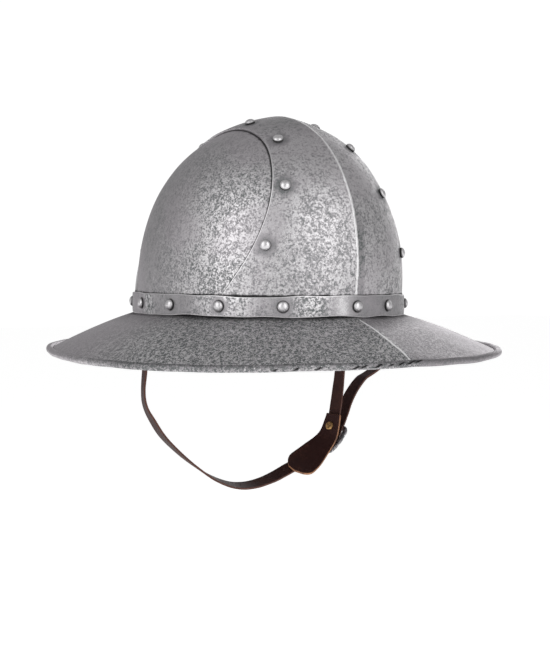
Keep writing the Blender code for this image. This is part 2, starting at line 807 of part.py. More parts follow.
def make_pad_rivet(space, collection):
    """The flat brass rivet that holds the pad and the strap's fold."""
    inner = -0.5 * STRAP_WALL - PAD_GAP - PAD_WALL - FIT_GAP
    point = space.point(PAD_RIVET_PLACE, 0.0, inner)
    inward = space.row(space.inward, PAD_RIVET_PLACE)
    depth = FIT_GAP + PAD_WALL + PAD_GAP + STRAP_WALL + LEG_GAP + STRAP_WALL + FIT_GAP
    profile = (
        (0.0, PAD_RIVET_HEIGHT),
        (PAD_RIVET_FLAT * PAD_RIVET_RADIUS, PAD_RIVET_HEIGHT),
        (PAD_RIVET_RADIUS, 0.0),
        (PAD_SHANK_RADIUS, 0.0),
        (PAD_SHANK_RADIUS, -depth),
        (PAD_CLENCH_SHARE * PAD_RIVET_RADIUS, -depth),
        (0.0, -depth - PAD_CLENCH_SHARE * PAD_RIVET_HEIGHT),
    )
    rivet = turned("pad_rivet", profile, RIVET_SIDES, collection, BRASS)
    rivet.matrix_world = frame_at(point, inward)
    return [(rivet.matrix_world.copy(), depth)]


def main():
    """Build the hat."""
    clear_scene()
    hat = make_collection("kettle_hat")
    cutters = make_collection("cutters")
    overlay = make_overlay(hat)
    plates = [
        make_side_plate("side_plate_right", -1.0, hat),
        make_side_plate("side_plate_left", 1.0, hat),
    ]
    band = make_band(hat)
    brim = make_brim(hat)

    hole = RIVET_SHANK_RADIUS + FIT_GAP
    arch = arch_rivet_places()
    belt = band_rivet_places()
    for name, place, depth in arch + belt:
        make_rivet(name, place, depth, hat)
    arch_cutter = hole_cutter("arch_hole_cutter", [(p, d) for _, p, d in arch], hole, cutters)
    band_cutter = hole_cutter("band_hole_cutter", [(p, d) for _, p, d in belt], hole, cutters)
    for item in [overlay] + plates:
        cut(item, arch_cutter, "arch_holes")
        cut(item, band_cutter, "band_holes")
    cut(band, band_cutter, "band_holes")
    cut(brim, band_cutter, "band_holes")

    space = StrapSpace()
    long_strap = ribbon("chin_strap_long", space, long_strap_track(space.total), 0.5 * STRAP_WIDTH, hat)
    short_strap = ribbon("chin_strap_short", space, short_strap_track(), 0.5 * STRAP_WIDTH, hat)
    pad = make_pad(space, hat)
    make_frame(space, hat, cutters)
    wire("buckle_prong", prong_points(space, PRONG_START_ANGLE), PRONG_WIRE, False, hat, POLISHED)
    slot_line = prong_points(space, SLOT_START_ANGLE)
    slot = wire("prong_slot_cutter", slot_line, PRONG_WIRE + SLOT_CLEARANCE, False, cutters, POLISHED)
    slot.display_type = "WIRE"
    slot.hide_render = True
    pad_places = make_pad_rivet(space, hat)
    pad_hole = hole_cutter("pad_hole_cutter", pad_places, PAD_SHANK_RADIUS + FIT_GAP, cutters)
    cut(long_strap, band_cutter, "anchor_hole")
    cut(short_strap, band_cutter, "anchor_hole")
    cut(long_strap, slot, "prong_hole")
    cut(short_strap, slot, "prong_slot")
    cut(short_strap, pad_hole, "rivet_hole")
    cut(pad, pad_hole, "rivet_hole")


main()
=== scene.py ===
"""Kettle hat: a riveted steel war hat with a wide sloping brim and a buckled leather chin strap.

Run as a script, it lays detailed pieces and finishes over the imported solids. Metres, +Z up, the
wearer looks along -Y, and the origin is the middle of the head opening at brow height.
"""

import math
from collections import namedtuple

import bpy
import numpy as np
from bpy.props import FloatProperty, FloatVectorProperty, IntProperty, PointerProperty
from mathutils import Matrix, Vector


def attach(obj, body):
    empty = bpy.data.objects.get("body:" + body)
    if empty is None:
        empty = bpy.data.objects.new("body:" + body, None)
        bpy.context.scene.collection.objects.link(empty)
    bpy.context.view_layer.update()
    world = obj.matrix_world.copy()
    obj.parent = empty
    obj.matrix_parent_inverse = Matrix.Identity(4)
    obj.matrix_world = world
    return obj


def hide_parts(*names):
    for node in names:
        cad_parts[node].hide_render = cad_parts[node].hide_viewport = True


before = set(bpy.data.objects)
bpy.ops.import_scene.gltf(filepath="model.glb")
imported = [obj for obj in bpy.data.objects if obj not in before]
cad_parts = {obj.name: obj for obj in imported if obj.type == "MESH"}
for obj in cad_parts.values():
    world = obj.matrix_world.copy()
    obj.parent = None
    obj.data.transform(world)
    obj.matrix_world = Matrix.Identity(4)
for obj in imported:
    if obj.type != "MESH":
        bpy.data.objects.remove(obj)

bl_info = {
    "name": "Kettle Hat",
    "version": (1, 0, 0),
    "blender": (4, 5, 0),
    "location": "View3D > Sidebar > Kettle Hat",
    "description": "Makes a riveted kettle hat with a rolled brim and a leather chin strap",
    "category": "Add Mesh",
}

# Share of the overlay edge's flare against the share of the way from brow to crown
FlareRow = namedtuple("FlareRow", "rise flare")
FLARE_TABLE = (
    FlareRow(0.00, 1.00),
    FlareRow(0.12, 0.80),
    FlareRow(0.20, 0.64),
    FlareRow(0.30, 0.45),
    FlareRow(0.41, 0.28),
    FlareRow(0.55, 0.14),
    FlareRow(0.72, 0.04),
    FlareRow(1.00, 0.00),
)

# Route of the chin strap from the wearer's right anchor to the left one. Across is a share of the
# half span, down a share of the drop, and roll turns the inner face to the front, in degrees.
RouteRow = namedtuple("RouteRow", "across down roll")
ROUTE_TABLE = (
    RouteRow(-0.989, 0.170, 12.0),
    RouteRow(-0.992, 0.346, 15.0),
    RouteRow(-1.004, 0.453, 18.0),
    RouteRow(-0.987, 0.531, 14.0),
    RouteRow(-0.922, 0.607, 5.0),
    RouteRow(-0.818, 0.700, 3.0),
    RouteRow(-0.655, 0.797, 5.0),
    RouteRow(-0.499, 0.873, 9.0),
    RouteRow(-0.331, 0.942, 13.0),
    RouteRow(-0.139, 0.990, 16.0),
    RouteRow(0.050, 1.000, 17.0),
    RouteRow(0.255, 0.976, 20.0),
    RouteRow(0.467, 0.927, 26.0),
    RouteRow(0.637, 0.888, 30.0),
    RouteRow(0.768, 0.835, 28.0),
    RouteRow(0.874, 0.775, 24.0),
    RouteRow(0.929, 0.702, 18.0),
    RouteRow(0.960, 0.627, 14.0),
    RouteRow(0.985, 0.531, 12.0),
    RouteRow(1.006, 0.433, 6.0),
    RouteRow(1.013, 0.354, 0.0),
    RouteRow(0.995, 0.170, -4.0),
)

# Free end of the long strap above the buckle: up is a share of its run, out of its reach
TailRow = namedtuple("TailRow", "up out")
TAIL_TABLE = (
    TailRow(0.067, 0.215),
    TailRow(0.21, 0.25),
    TailRow(0.38, 0.307),
    TailRow(0.54, 0.385),
    TailRow(0.70, 0.49),
    TailRow(0.82, 0.60),
    TailRow(0.92, 0.75),
    TailRow(1.00, 1.00),
)

# Splits in the brim's rolled edge: turn, width and slant in degrees, place and run as shares of the roll
SplitRow = namedtuple("SplitRow", "turn share run wide slant")
SPLIT_TABLE = (
    SplitRow(-33.3, 0.31, 0.10, 0.45, 7.0),
    SplitRow(-28.7, 0.31, 0.14, 0.55, 7.0),
    SplitRow(-23.7, 0.33, 0.14, 0.50, 7.0),
    SplitRow(-15.2, 0.34, 0.16, 0.70, 8.0),
    SplitRow(-13.4, 0.38, 0.16, 0.60, 8.0),
    SplitRow(-9.8, 0.39, 0.16, 0.70, 8.0),
    SplitRow(-6.6, 0.41, 0.10, 0.45, 8.0),
    SplitRow(-4.0, 0.44, 0.14, 0.60, 9.0),
    SplitRow(-1.2, 0.48, 0.17, 0.80, 12.0),
    SplitRow(0.9, 0.52, 0.14, 0.70, 12.0),
)

# Outline of the buckle pad: down is a share of its length, widths are shares of its half width
PadRow = namedtuple("PadRow", "down front back")
PAD_TABLE = (
    PadRow(0.00, 0.52, 0.38),
    PadRow(0.10, 0.56, 0.43),
    PadRow(0.25, 0.62, 0.47),
    PadRow(0.42, 0.71, 0.56),
    PadRow(0.58, 0.84, 0.68),
    PadRow(0.74, 1.02, 0.71),
    PadRow(0.86, 1.13, 0.64),
    PadRow(0.94, 0.95, 0.40),
    PadRow(1.00, 0.50, 0.02),
)

# Places of the rivets along each edge of the overlay, in degrees from brow over the crown
ArchRow = namedtuple("ArchRow", "right left")
ARCH_TABLE = (
    ArchRow(20.5, 18.5),
    ArchRow(39.0, 37.5),
    ArchRow(61.0, 57.5),
    ArchRow(84.5, 80.0),
    ArchRow(118.0, 106.0),
    ArchRow(139.5, 134.0),
    ArchRow(161.0, 160.0),
)

# Places of the band's rivets on each side, in degrees from the front
BandRow = namedtuple("BandRow", "right left")
BAND_TABLE = (
    BandRow(31.0, 19.0),
    BandRow(56.0, 52.0),
    BandRow(80.0, 78.0),
    BandRow(103.0, 103.0),
    BandRow(129.0, 129.0),
    BandRow(154.0, 154.0),
)
# Row of the band's rivet that also holds the strap
STRAP_RIVET = 3

# Each side of the hat, with the sign of its X
HANDS = (("right", -1.0), ("left", 1.0))

# The finishes read their distances in millimetres
MM = 1000.0
# Points of a sheet and of a wire that are nearer than this are one, in metres
SHEET_WELD = 0.00001
WIRE_WELD = 0.000005
# Distance between the places along the buckle's frame, in metres
FRAME_STEP = 0.0008
# Rivet distances beyond this many millimetres are all the same to the finishes
FAR = 60.0
WHITE = (1.0, 1.0, 1.0)

# How far the rim is out of true at a turn from the front: outwards and upwards, in metres
RimRow = namedtuple("RimRow", "turn out up")
RIM_TABLE = (
    RimRow(-180.0, 0.0018, 0.0010),
    RimRow(-140.0, 0.0010, 0.0012),
    RimRow(-115.0, 0.0008, 0.0002),
    RimRow(-93.0, 0.0004, -0.0019),
    RimRow(-78.0, 0.0, -0.0029),
    RimRow(-55.0, 0.0, -0.0034),
    RimRow(-40.0, 0.0, -0.0028),
    RimRow(-28.0, 0.0, -0.0021),
    RimRow(-15.0, 0.0008, -0.0014),
    RimRow(-5.0, 0.0018, -0.0010),
    RimRow(20.0, 0.0040, -0.0010),
    RimRow(45.0, 0.0060, -0.0002),
    RimRow(70.0, 0.0066, 0.0008),
    RimRow(107.0, 0.0055, 0.0014),
    RimRow(140.0, 0.0035, 0.0012),
    RimRow(180.0, 0.0018, 0.0010),
)

# Long, shallow waves left in the sheet by the hammer: direction, wave length in metres, phase
WaveRow = namedtuple("WaveRow", "x y z length phase")
WAVE_TABLE = (
    WaveRow(0.84, 0.31, 0.45, 0.061, 0.4),
    WaveRow(-0.37, 0.80, 0.47, 0.047, 1.9),
    WaveRow(0.22, -0.52, 0.83, 0.039, 3.3),
    WaveRow(0.65, 0.72, -0.25, 0.031, 5.1),
    WaveRow(-0.71, 0.15, 0.69, 0.026, 0.9),
    WaveRow(0.10, 0.95, -0.30, 0.021, 2.6),
)

# Noises of the finishes: grains to about half a metre, detail, roughness and distortion
NoiseRow = namedtuple("NoiseRow", "scale detail rough bend")
NOISE_TABLE = {
    "side_grain": NoiseRow(680.0, 5.0, 0.72, 0.15),
    "side_blotch": NoiseRow(240.0, 3.0, 0.6, 0.5),
    "overlay_grain": NoiseRow(560.0, 5.0, 0.72, 0.15),
    "overlay_blotch": NoiseRow(190.0, 3.0, 0.6, 0.5),
    "band_grain": NoiseRow(600.0, 5.0, 0.72, 0.15),
    "band_blotch": NoiseRow(200.0, 3.0, 0.6, 0.5),
    "brim_grain": NoiseRow(470.0, 2.5, 0.6, 0.9),
    "brim_blotch": NoiseRow(240.0, 3.0, 0.6, 0.5),
    "brim_thread": NoiseRow(330.0, 2.0, 0.5, 1.2),
    "brim_chips": NoiseRow(620.0, 3.0, 0.6, 0.0),
    "drift": NoiseRow(17.0, 2.0, 0.5, 0.0),
    "dust": NoiseRow(1500.0, 2.0, 0.5, 0.0),
    "rivet_clouds": NoiseRow(260.0, 3.0, 0.6, 0.4),
    "buckle_clouds": NoiseRow(330.0, 3.0, 0.6, 0.4),
    "leather_folds": NoiseRow(620.0, 4.0, 0.6, 0.5),
    "leather_wear": NoiseRow(46.0, 4.0, 0.6, 0.3),
    "cut_fibres": NoiseRow(900.0, 4.0, 0.65, 0.2),
    "cut_patches": NoiseRow(60.0, 2.0, 0.5, 0.0),
    "brass_spots": NoiseRow(700.0, 4.0, 0.6, 0.0),
}

# Mottling of the plates: share of the slow drift, and the sums at which the steel is dark and bright
SteelRow = namedtuple("SteelRow", "drift low high")
STEEL_TABLE = {
    "side": SteelRow(0.12, 0.42, 0.55),
    "overlay": SteelRow(0.16, 0.41, 0.54),
    "band": SteelRow(0.16, 0.43, 0.54),
}

# Turns round which the brim's finish shows, in degrees: full up to near from the middle, gone at far
FadeRow = namedtuple("FadeRow", "middle near far")
FADE_TABLE = {
    "lip": FadeRow(-22.0, 45.0, 85.0),
    "chip": FadeRow(-27.0, 20.0, 34.0),
    # Where the painted shadow line of the roll shows
    "roll_shadow": FadeRow(-40.0, 44.0, 70.0),
    "mottle": FadeRow(-22.0, 36.0, 80.0),
}

# Soft lights: direction and height in degrees, distance and sizes in metres, share of the main power
LightRow = namedtuple("LightRow", "name turn lift away wide high share")
LIGHT_TABLE = (
    LightRow("key_light", -2.0, 22.0, 1.6, 0.9, 1.4, 1.0),
    LightRow("left_light", -80.0, 22.0, 1.6, 0.8, 1.4, 0.9),
    LightRow("back_light", 128.0, 14.0, 1.6, 1.1, 0.8, 0.58),
)


def length(name, description, default):
    """A property that holds a length in metres."""
    return FloatProperty(name=name, description=description, default=default, unit="LENGTH", precision=5)


def angle(name, description, default):
    """A property that holds an angle, given in degrees."""
    return FloatProperty(name=name, description=description, default=math.radians(default), subtype="ANGLE")


def number(name, description, default):
    """A property that holds a plain number or a share."""
    return FloatProperty(name=name, description=description, default=default, precision=4)


def colour(name, description, default):
    """A property that holds a colour."""
    return FloatVectorProperty(
        name=name, description=description, default=default, subtype="COLOR", size=3, min=0.0, max=1.0)


class SkullSizes(bpy.types.PropertyGroup):
    """Sizes of the skull's plates."""

    half_width: length("Half width", "Half the width of the skull at the brow", 0.0992)
    half_length: length("Half length", "Half the length of the skull at the brow", 0.1153)
    height: length("Height", "From the brow to the crown", 0.1392)
    apex_forward: length("Apex forward", "How far the crown sits in front of the middle", 0.0076)
    fullness: number("Fullness", "How full the dome is", 2.54)
    roundness: number("Roundness", "How round the dome's shoulder is", 1.87)
    skirt_drop: length("Skirt", "How far the plates run down behind the band", 0.0110)
    wall: length("Wall", "Thickness of the plates", 0.0015)
    gap: length("Gap", "Clearance under the overlay", 0.0005)
    waist: angle("Waist", "Overlay's half width at the crown", 21.0)
    flare: angle("Flare", "How much wider the overlay gets at its feet", 36.5)
    underlap: angle("Underlap", "How far the side plates run under the overlay", 8.5)
    skirt_flare: number("Skirt flare", "Widening of the overlay's skirt, in degrees a metre", 450.0)
    keel_height: length("Keel height", "Height of the keel", 0.0020)
    keel_half_width: length("Keel half width", "Half the width of the keel's slopes", 0.0360)
    keel_foot: number("Keel foot", "Share of the keel's height at the brow", 0.35)
    keel_blunt: length("Keel blunt", "How blunt the keel's line is", 0.0004)
    keel_fade: angle("Keel fade", "Where the keel has its full height", 13.0)
    keel_start: angle("Keel start", "Where the keel starts to rise above the band", 1.5)
    ridge_height: length("Ridge height", "Extra height of the sharp ridge", 0.0006)
    ridge_half_width: length("Ridge half width", "Reach of the sharp ridge", 0.0050)
    dents: length("Dents", "Height of the hammer's waves", 0.00016)
    rounding: length("Rounding", "Rounding of the overlay's edges", 0.00035)
    squeeze: length("Squeeze", "How much flatter the dome is on the wearer's left", 0.0024)
    sink: length("Sink", "How much flatter the crown is", 0.0009)


class BandSizes(bpy.types.PropertyGroup):
    """Sizes of the riveted band."""

    top: length("Top", "Height of the upper edge", 0.0036)
    bottom: length("Bottom", "Height of the lower edge", -0.0119)
    wall: length("Wall", "Thickness of the band", 0.0013)
    gap: length("Gap", "Clearance behind the band", 0.0005)
    step_start: angle("Step start", "Where the band leaves the overlay", 66.0)
    step_end: angle("Step end", "Where the band lies on the side plates", 76.0)
    wave: length("Wave", "Unevenness of the band's edges", 0.0009)
    dome: length("Dome", "How far the band's face is domed", 0.00022)
    tuck: length("Tuck", "How far the band's edges are drawn in", 0.0001)
    rounding: length("Rounding", "Rounding of the band's edges", 0.0003)
    dents: length("Dents", "Height of the hammer's waves", 0.00012)


class BrimSizes(bpy.types.PropertyGroup):
    """Sizes of the brim."""

    wall: length("Wall", "Thickness of the brim", 0.0015)
    collar_gap: length("Collar gap", "Clearance outside the collar", 0.0011)
    collar_top: length("Collar top", "Height of the collar's edge", 0.0022)
    step_start: angle("Step start", "Where the collar leaves the overlay", 39.0)
    step_end: angle("Step end", "Where the collar lies in the side plates", 48.5)
    shoulder: length("Shoulder", "Radius of the bend from collar to cone", 0.0018)
    root: length("Root", "How far below the brow the cone starts", 0.0116)
    rim_half_width: length("Rim half width", "Half the width of the brim", 0.1744)
    rim_half_length: length("Rim half length", "Half the length of the brim", 0.1796)
    rim_forward: length("Rim forward", "How far the rim sits in front of the skull", 0.0050)
    rim_drop: length("Rim drop", "How far the rim hangs below the brow", 0.0432)
    roll_radius: length("Roll radius", "Outer radius of the rolled edge", 0.0026)
    roll_start: angle("Roll start", "Where the roll leaves the cone", -110.0)
    roll_end: angle("Roll end", "Where the raw edge of the roll lies", 172.0)
    crease_height: length("Crease height", "Height of the brim's crease", 0.0020)
    crease_half_width: length("Crease half width", "Half the width of the crease's slopes", 0.0300)
    crease_slant: length("Crease slant", "How far the crease runs to the wearer's right", 0.0046)
    crease_blunt: length("Crease blunt", "How blunt the crease's line is", 0.0006)
    bulge: length("Bulge", "How far the cone is domed", 0.0024)
    dents: length("Dents", "Height of the hammer's waves", 0.0003)


class RivetSizes(bpy.types.PropertyGroup):
    """Sizes of the steel rivets."""

    head_radius: length("Head radius", "Radius of the rivet's head", 0.0040)
    head_height: length("Head height", "Height of the rivet's head", 0.0034)
    foot_share: number("Foot share", "Share of the head's height below its dome", 0.26)
    shank_radius: length("Shank radius", "Radius of the shank", 0.0016)
    clench_radius: length("Clench radius", "Radius of the clenched end", 0.0026)
    clench_height: length("Clench height", "Height of the clenched end", 0.0009)
    shank_top: length("Shank top", "Height of the shank's end under the head", -0.0004)
    band_drop: length("Band drop", "How far below the brow the band's rivets sit", 0.0041)
    arch_inset: angle("Arch inset", "Distance of the arch rivets from the overlay's edge", 5.6)
    fit: length("Fit", "Clearance under the head", 0.0003)
    facet: length("Facet", "Spare length behind the sheets", 0.0011)


class StrapSizes(bpy.types.PropertyGroup):
    """Sizes of the chin strap and its pad."""

    width: length("Width", "Width of the strap", 0.0120)
    wall: length("Wall", "Thickness of the strap", 0.0016)
    rounding: length("Rounding", "Rounding of the strap's cut edges", 0.00024)
    ripple: number("Ripple", "Unevenness of the strap's width", 0.018)
    anchor_gap: length("Anchor gap", "Clearance between collar and strap", 0.0007)
    half_span: length("Half span", "Half the width of the strap's loop", 0.0950)
    drop: length("Drop", "From the anchor rivets to the bottom of the loop", 0.1522)
    plane_back: length("Plane", "How far behind the middle the loop hangs", 0.0300)
    plane_share: number("Plane share", "Where the loop reaches its own plane", 0.4)
    top: length("Top", "Height of the anchored ends", 0.0016)
    short_end_rise: length("Short end", "Length of the fold above the pad's rivet", 0.0040)
    leg_gap: length("Leg gap", "Clearance between the legs of the fold", 0.00036)
    tail_run: length("Tail run", "Height of the free end above the buckle", 0.0500)
    tail_reach: length("Tail reach", "How far the free end stands out", 0.0420)
    pad_top: length("Pad top", "Place of the pad's upper edge down the strap", 0.1055)
    pad_length: length("Pad length", "Length of the pad", 0.0680)
    pad_half_width: length("Pad half width", "Half the width of the pad", 0.0160)
    pad_wall: length("Pad wall", "Thickness of the pad", 0.0020)
    pad_gap: length("Pad gap", "Clearance between strap and pad", 0.0006)
    pad_rounding: length("Pad rounding", "Rounding of the pad's cut edges", 0.00028)
    pad_rivet_place: length("Pad rivet place", "Place of the pad's rivet down the strap", 0.1165)
    pad_rivet_radius: length("Pad rivet radius", "Radius of the pad's rivet", 0.0037)
    pad_rivet_height: length("Pad rivet height", "Height of the pad rivet's head", 0.0009)
    pad_shank_radius: length("Pad shank radius", "Radius of the pad rivet's shank", 0.0014)
    first_hole: length("First hole", "From the buckle's lower bar to the first hole", 0.0120)
    hole_pitch: length("Hole pitch", "Distance between the strap's holes", 0.0150)
    hole_radius: length("Hole radius", "Radius of the strap's holes", 0.0007)
    holes: IntProperty(name="Holes", description="Number of holes below the buckle", default=6)


class BuckleSizes(bpy.types.PropertyGroup):
    """Sizes of the buckle."""

    upper_bar: length("Upper bar", "Place of the upper bar down the strap", 0.1150)
    length: length("Length", "From the upper bar to the lower bar", 0.0215)
    half_width: length("Half width", "Half the width of the frame", 0.0090)
    corner: length("Corner", "Radius of the frame's corners", 0.0035)
    wire: length("Wire", "Radius of the frame's bars", 0.00125)
    tilt: length("Tilt", "How far the frame bows outwards", 0.0075)
    bow: number("Bow", "How late the frame bows", 1.5)
    prong: length("Prong", "Radius of the prong", 0.0008)
    overhang: length("Overhang", "How far the prong passes the lower bar", 0.0015)
    dip: length("Dip", "How far the prong's tip is bent in", 0.0001)
    flat: number("Flat", "How much wider the frame's bars are than round", 2.0)


class Finishes(bpy.types.PropertyGroup):
    """Colours and roughness of the steel, leather and brass."""

    bright: colour("Bright steel", "Steel worn bright", (0.74, 0.73, 0.74))
    steel: colour("Steel", "Plain grey of the steel", (0.405, 0.39, 0.405))
    patina: colour("Patina", "Darkened steel", (0.155, 0.172, 0.170))
    tint: colour("Tint", "Faint warm tint of the bare sheet", (0.45, 0.415, 0.445))
    shine: colour("Rubbed steel", "Steel on the rubbed ridges and chips", (0.98, 0.97, 0.98))
    # Dark colour of the painted shade in seams, crevices, under edges and at the rivets' feet, mixed with
    # dirt
    shade_and_grime: colour("Shade and grime", "Dirt in the seams", (0.03, 0.03, 0.03))
    # Black of the painted shade inside the roll's splits
    split: colour("Splits", "Inside of the roll's splits", (0.0, 0.0, 0.0))
    grain: colour("Leather", "Grain side of the leather", (0.026, 0.009, 0.007))
    inner: colour("Leather, worn", "Rubbed leather", (0.062, 0.024, 0.016))
    strap_edge: colour("Strap's edge", "Stained cut edge of the strap", (0.115, 0.042, 0.028))
    cut: colour("Cut edge", "Cut edge of the leather", (0.50, 0.24, 0.12))
    sheen: colour("Sheen", "Tint of the leather's gloss", (1.0, 0.74, 0.76))
    brass: colour("Brass", "Pad's rivet", (0.52, 0.31, 0.13))
    tarnish: colour("Tarnish", "Dark spots on the brass", (0.10, 0.06, 0.035))
    dark_roughness: number("Dark roughness", "Roughness of the darkened steel", 0.58)
    bright_roughness: number("Bright roughness", "Roughness of the bright steel", 0.42)
    grime_roughness: number("Grime roughness", "Roughness of the dirt", 0.85)


class StudioSizes(bpy.types.PropertyGroup):
    """Camera, floor and lights."""

    lens: number("Lens", "Focal length in millimetres", 74.28)
    distance: length("Distance", "From the brow to the camera", 1.0741)
    azimuth: angle("Azimuth", "Direction of the camera", -33.53)
    elevation: angle("Elevation", "Height of the camera", 1.55)
    look_azimuth: angle("Look azimuth", "Direction the camera looks back along", -33.90)
    look_elevation: angle("Look elevation", "How far the camera looks down", 2.75)
    roll: angle("Roll", "Roll of the camera", 0.21)
    sensor: number("Sensor", "Width of the camera's sensor in millimetres", 36.0)
    floor_drop: length("Floor", "Height of the floor", -0.45)
    floor_size: length("Floor size", "Side of the floor", 16.0)
    paper: colour("Paper", "Colour of the floor", (0.93, 0.93, 0.93))
    glow: number("Glow", "How much the floor shines by itself", 0.6)
    aim_height: length("Aim", "Height above the brow that the lights aim at", 0.04)
    backdrop: number("Backdrop", "Brightness of the room as the camera sees it", 1.05)
    fill: number("Fill", "Strength of the room's light", 0.42)
    key: number("Key", "Strength of the main light", 8.5)


class KettleHat(bpy.types.PropertyGroup):
    """Everything that a user may change."""

    skull: PointerProperty(type=SkullSizes)
    band: PointerProperty(type=BandSizes)
    brim: PointerProperty(type=BrimSizes)
    rivet: PointerProperty(type=RivetSizes)
    strap: PointerProperty(type=StrapSizes)
    buckle: PointerProperty(type=BuckleSizes)
    finish: PointerProperty(type=Finishes)
    studio: PointerProperty(type=StudioSizes)


def hat():
    """The sizes and colours in the scene."""
    return bpy.context.scene.kettle_hat


def hump(value, middle, spread):
    """A smooth hump that is 1 in the middle and fades over the spread."""
    return np.exp(-((value - middle) / spread) ** 2)


def shown(name, turn):
    """How much of one of the brim's finishes shows at a turn, from 0 to 1."""
    row = FADE_TABLE[name]
    return 1.0 - smooth_step(np.abs(turn - row.middle), row.near, row.far)


def smooth_step(value, start, end):
    """A smooth rise from 0 at start to 1 at end."""
    share = np.clip((np.asarray(value, float) - start) / (end - start), 0.0, 1.0)
    return share * share * (3.0 - 2.0 * share)


def smooth_path(points, steps):
    """Points along a Catmull-Rom curve through the given rows of numbers."""
    rows = [np.array(point, float) for point in points]
    rows = [2.0 * rows[0] - rows[1]] + rows + [2.0 * rows[-1] - rows[-2]]
    path = []
    for before, start, end, after in zip(rows, rows[1:], rows[2:], rows[3:]):
        for step in range(steps):
            t = step / steps
            bend = 2.0 * before - 5.0 * start + 4.0 * end - after
            twist = 3.0 * start - before - 3.0 * end + after
            path.append(0.5 * (2.0 * start + (end - before) * t + bend * t ** 2 + twist * t ** 3))
    path.append(rows[-2])
    return np.array(path)


def waves(points, stretch=1.0):
    """Unevenness between about -1 and 1 at each point, from the table of waves."""
    total = np.zeros(points.shape[:-1])
    for row in WAVE_TABLE:
        along = points @ np.array([row.x, row.y, row.z])
        total += np.sin(along * (2.0 * math.pi / (row.length * stretch)) + row.phase)
    return total / (0.6 * len(WAVE_TABLE))


def dome_share(height):
    """The skull's radius as a share of its radius at the brow, at a share of its height."""
    skull = hat().skull
    return (1.0 - np.clip(height, 0.0, 1.0) ** skull.fullness) ** (1.0 / skull.roundness)


def skull_points(rise, side, drop=0.0):
    """Points on the skull: rise in degrees from brow over the crown, side from the middle plane."""
    skull = hat().skull
    psi, lam = np.radians(rise), np.radians(side)
    across = np.sin(lam) + 0.0 * psi
    along = -np.cos(lam) * np.cos(psi)
    up = np.cos(lam) * np.sin(psi)
    flat = np.hypot(across, along)
    low, high = np.zeros_like(up), np.full_like(up, 2.0)
    for _ in range(44):
        reach = 0.5 * (low + high)
        inside = (reach * flat < dome_share(reach * up)) & (reach * up < 1.0)
        low, high = np.where(inside, reach, low), np.where(inside, high, reach)
    lift = low * up
    squeeze = skull.squeeze * smooth_step(lift, 0.25, 0.7) * smooth_step(low * across, 0.1, 0.7)
    return np.stack([
        skull.half_width * low * across - squeeze,
        skull.half_length * low * along - skull.apex_forward * lift,
        skull.height * lift - drop - skull.sink * smooth_step(lift, 0.6, 1.0),
    ], axis=-1)


def skull_normals(points):
    """The outward directions of the skull's surface at points on it."""
    skull = hat().skull
    height = np.clip(points[..., 2] / skull.height, 0.0, 1.0 - 1e-6)
    along = points[..., 1] + skull.apex_forward * height
    radius = np.hypot(points[..., 0] / skull.half_width, along / skull.half_length)
    radius = np.maximum(radius, 1e-9)
    slope = skull.fullness / skull.roundness * height ** (skull.fullness - 1.0)
    slope = slope * (1.0 - height ** skull.fullness) ** (1.0 / skull.roundness - 1.0)
    lean = along / skull.half_length ** 2 / radius
    normal = np.stack([
        points[..., 0] / skull.half_width ** 2 / radius,
        lean,
        (lean * skull.apex_forward + slope) / skull.height,
    ], axis=-1)
    return normal / np.linalg.norm(normal, axis=-1)[..., None]


def edge_angles(rise, drop=0.0):
    """Angle of the overlay's edge from the middle plane, in degrees."""
    skull = hat().skull
    path = smooth_path([(row.rise, row.flare) for row in FLARE_TABLE], 12)
    flare = np.interp(np.minimum(rise, 180.0 - rise) / 90.0, path[:, 0], path[:, 1])
    return math.degrees(skull.waist) + math.degrees(skull.flare) * flare + skull.skirt_flare * drop


def keel_lift(x, rise):
    """How far the overlay is drawn up into its keel."""
    skull = hat().skull
    near = np.hypot(x, skull.keel_blunt)
    share = np.maximum(0.0, 1.0 - near / skull.keel_half_width)
    start, end = math.degrees(skull.keel_start), math.degrees(skull.keel_fade)
    fade = smooth_step(np.minimum(rise, 180.0 - rise), start, end)
    slope = skull.keel_height * (skull.keel_foot + (1.0 - skull.keel_foot) * fade) * share * share
    return slope + fade * skull.ridge_height * np.exp(-near / skull.ridge_half_width)


def overlay_points(rise, side, drop=0.0):
    """Points on the overlay's outer face, with their outward directions."""
    skull = hat().skull
    points = skull_points(rise, side, drop)
    normals = skull_normals(points)
    lift = skull.gap + skull.wall + keel_lift(points[..., 0], rise)
    return points + normals * lift[..., None], normals


def arch_rows():
    """Rise and drop of each row of the plates, from the front skirt to the back one."""
    skirt = hat().skull.skirt_drop * np.linspace(1.0, 0.0, 6)[:-1]
    rise = np.concatenate([0.0 * skirt, np.linspace(0.0, 180.0, 221), 0.0 * skirt + 180.0])
    drop = np.concatenate([skirt, np.zeros(221), skirt[::-1]])
    return rise[:, None], drop[:, None]


def ellipse_points(turn, out, z, half_width, half_length, forward=0.0):
    """Points outside an ellipse, at angles from the front, with their outward directions."""
    turn = np.radians(turn)
    across, along = np.sin(turn), -np.cos(turn)
    normal = np.stack([across / half_width, along / half_length, 0.0 * turn], axis=-1)
    normal = normal / np.linalg.norm(normal, axis=-1)[..., None]
    point = np.stack([half_width * across, half_length * along - forward, 0.0 * turn + z], axis=-1)
    return point + normal * np.asarray(out)[..., None], normal


def foot_points(turn, out, z):
    """Points outside the foot of the skull, at angles from the front, with their directions."""
    skull = hat().skull
    return ellipse_points(turn, out, z, skull.half_width, skull.half_length)


def rim_points(turn, out, z):
    """Points outside the rim's ellipse, at angles from the front."""
    brim = hat().brim
    return ellipse_points(turn, out, z, brim.rim_half_width, brim.rim_half_length, brim.rim_forward)[0]


def front_turn(turn):
    """The same angle between -180 and 180 degrees, with 0 at the front."""
    return (turn + 180.0) % 360.0 - 180.0


def quarter_angle(turn):
    """The same angle measured from the front or the back, whichever is nearer."""
    turn = np.mod(turn, 180.0)
    return np.minimum(turn, 180.0 - turn)


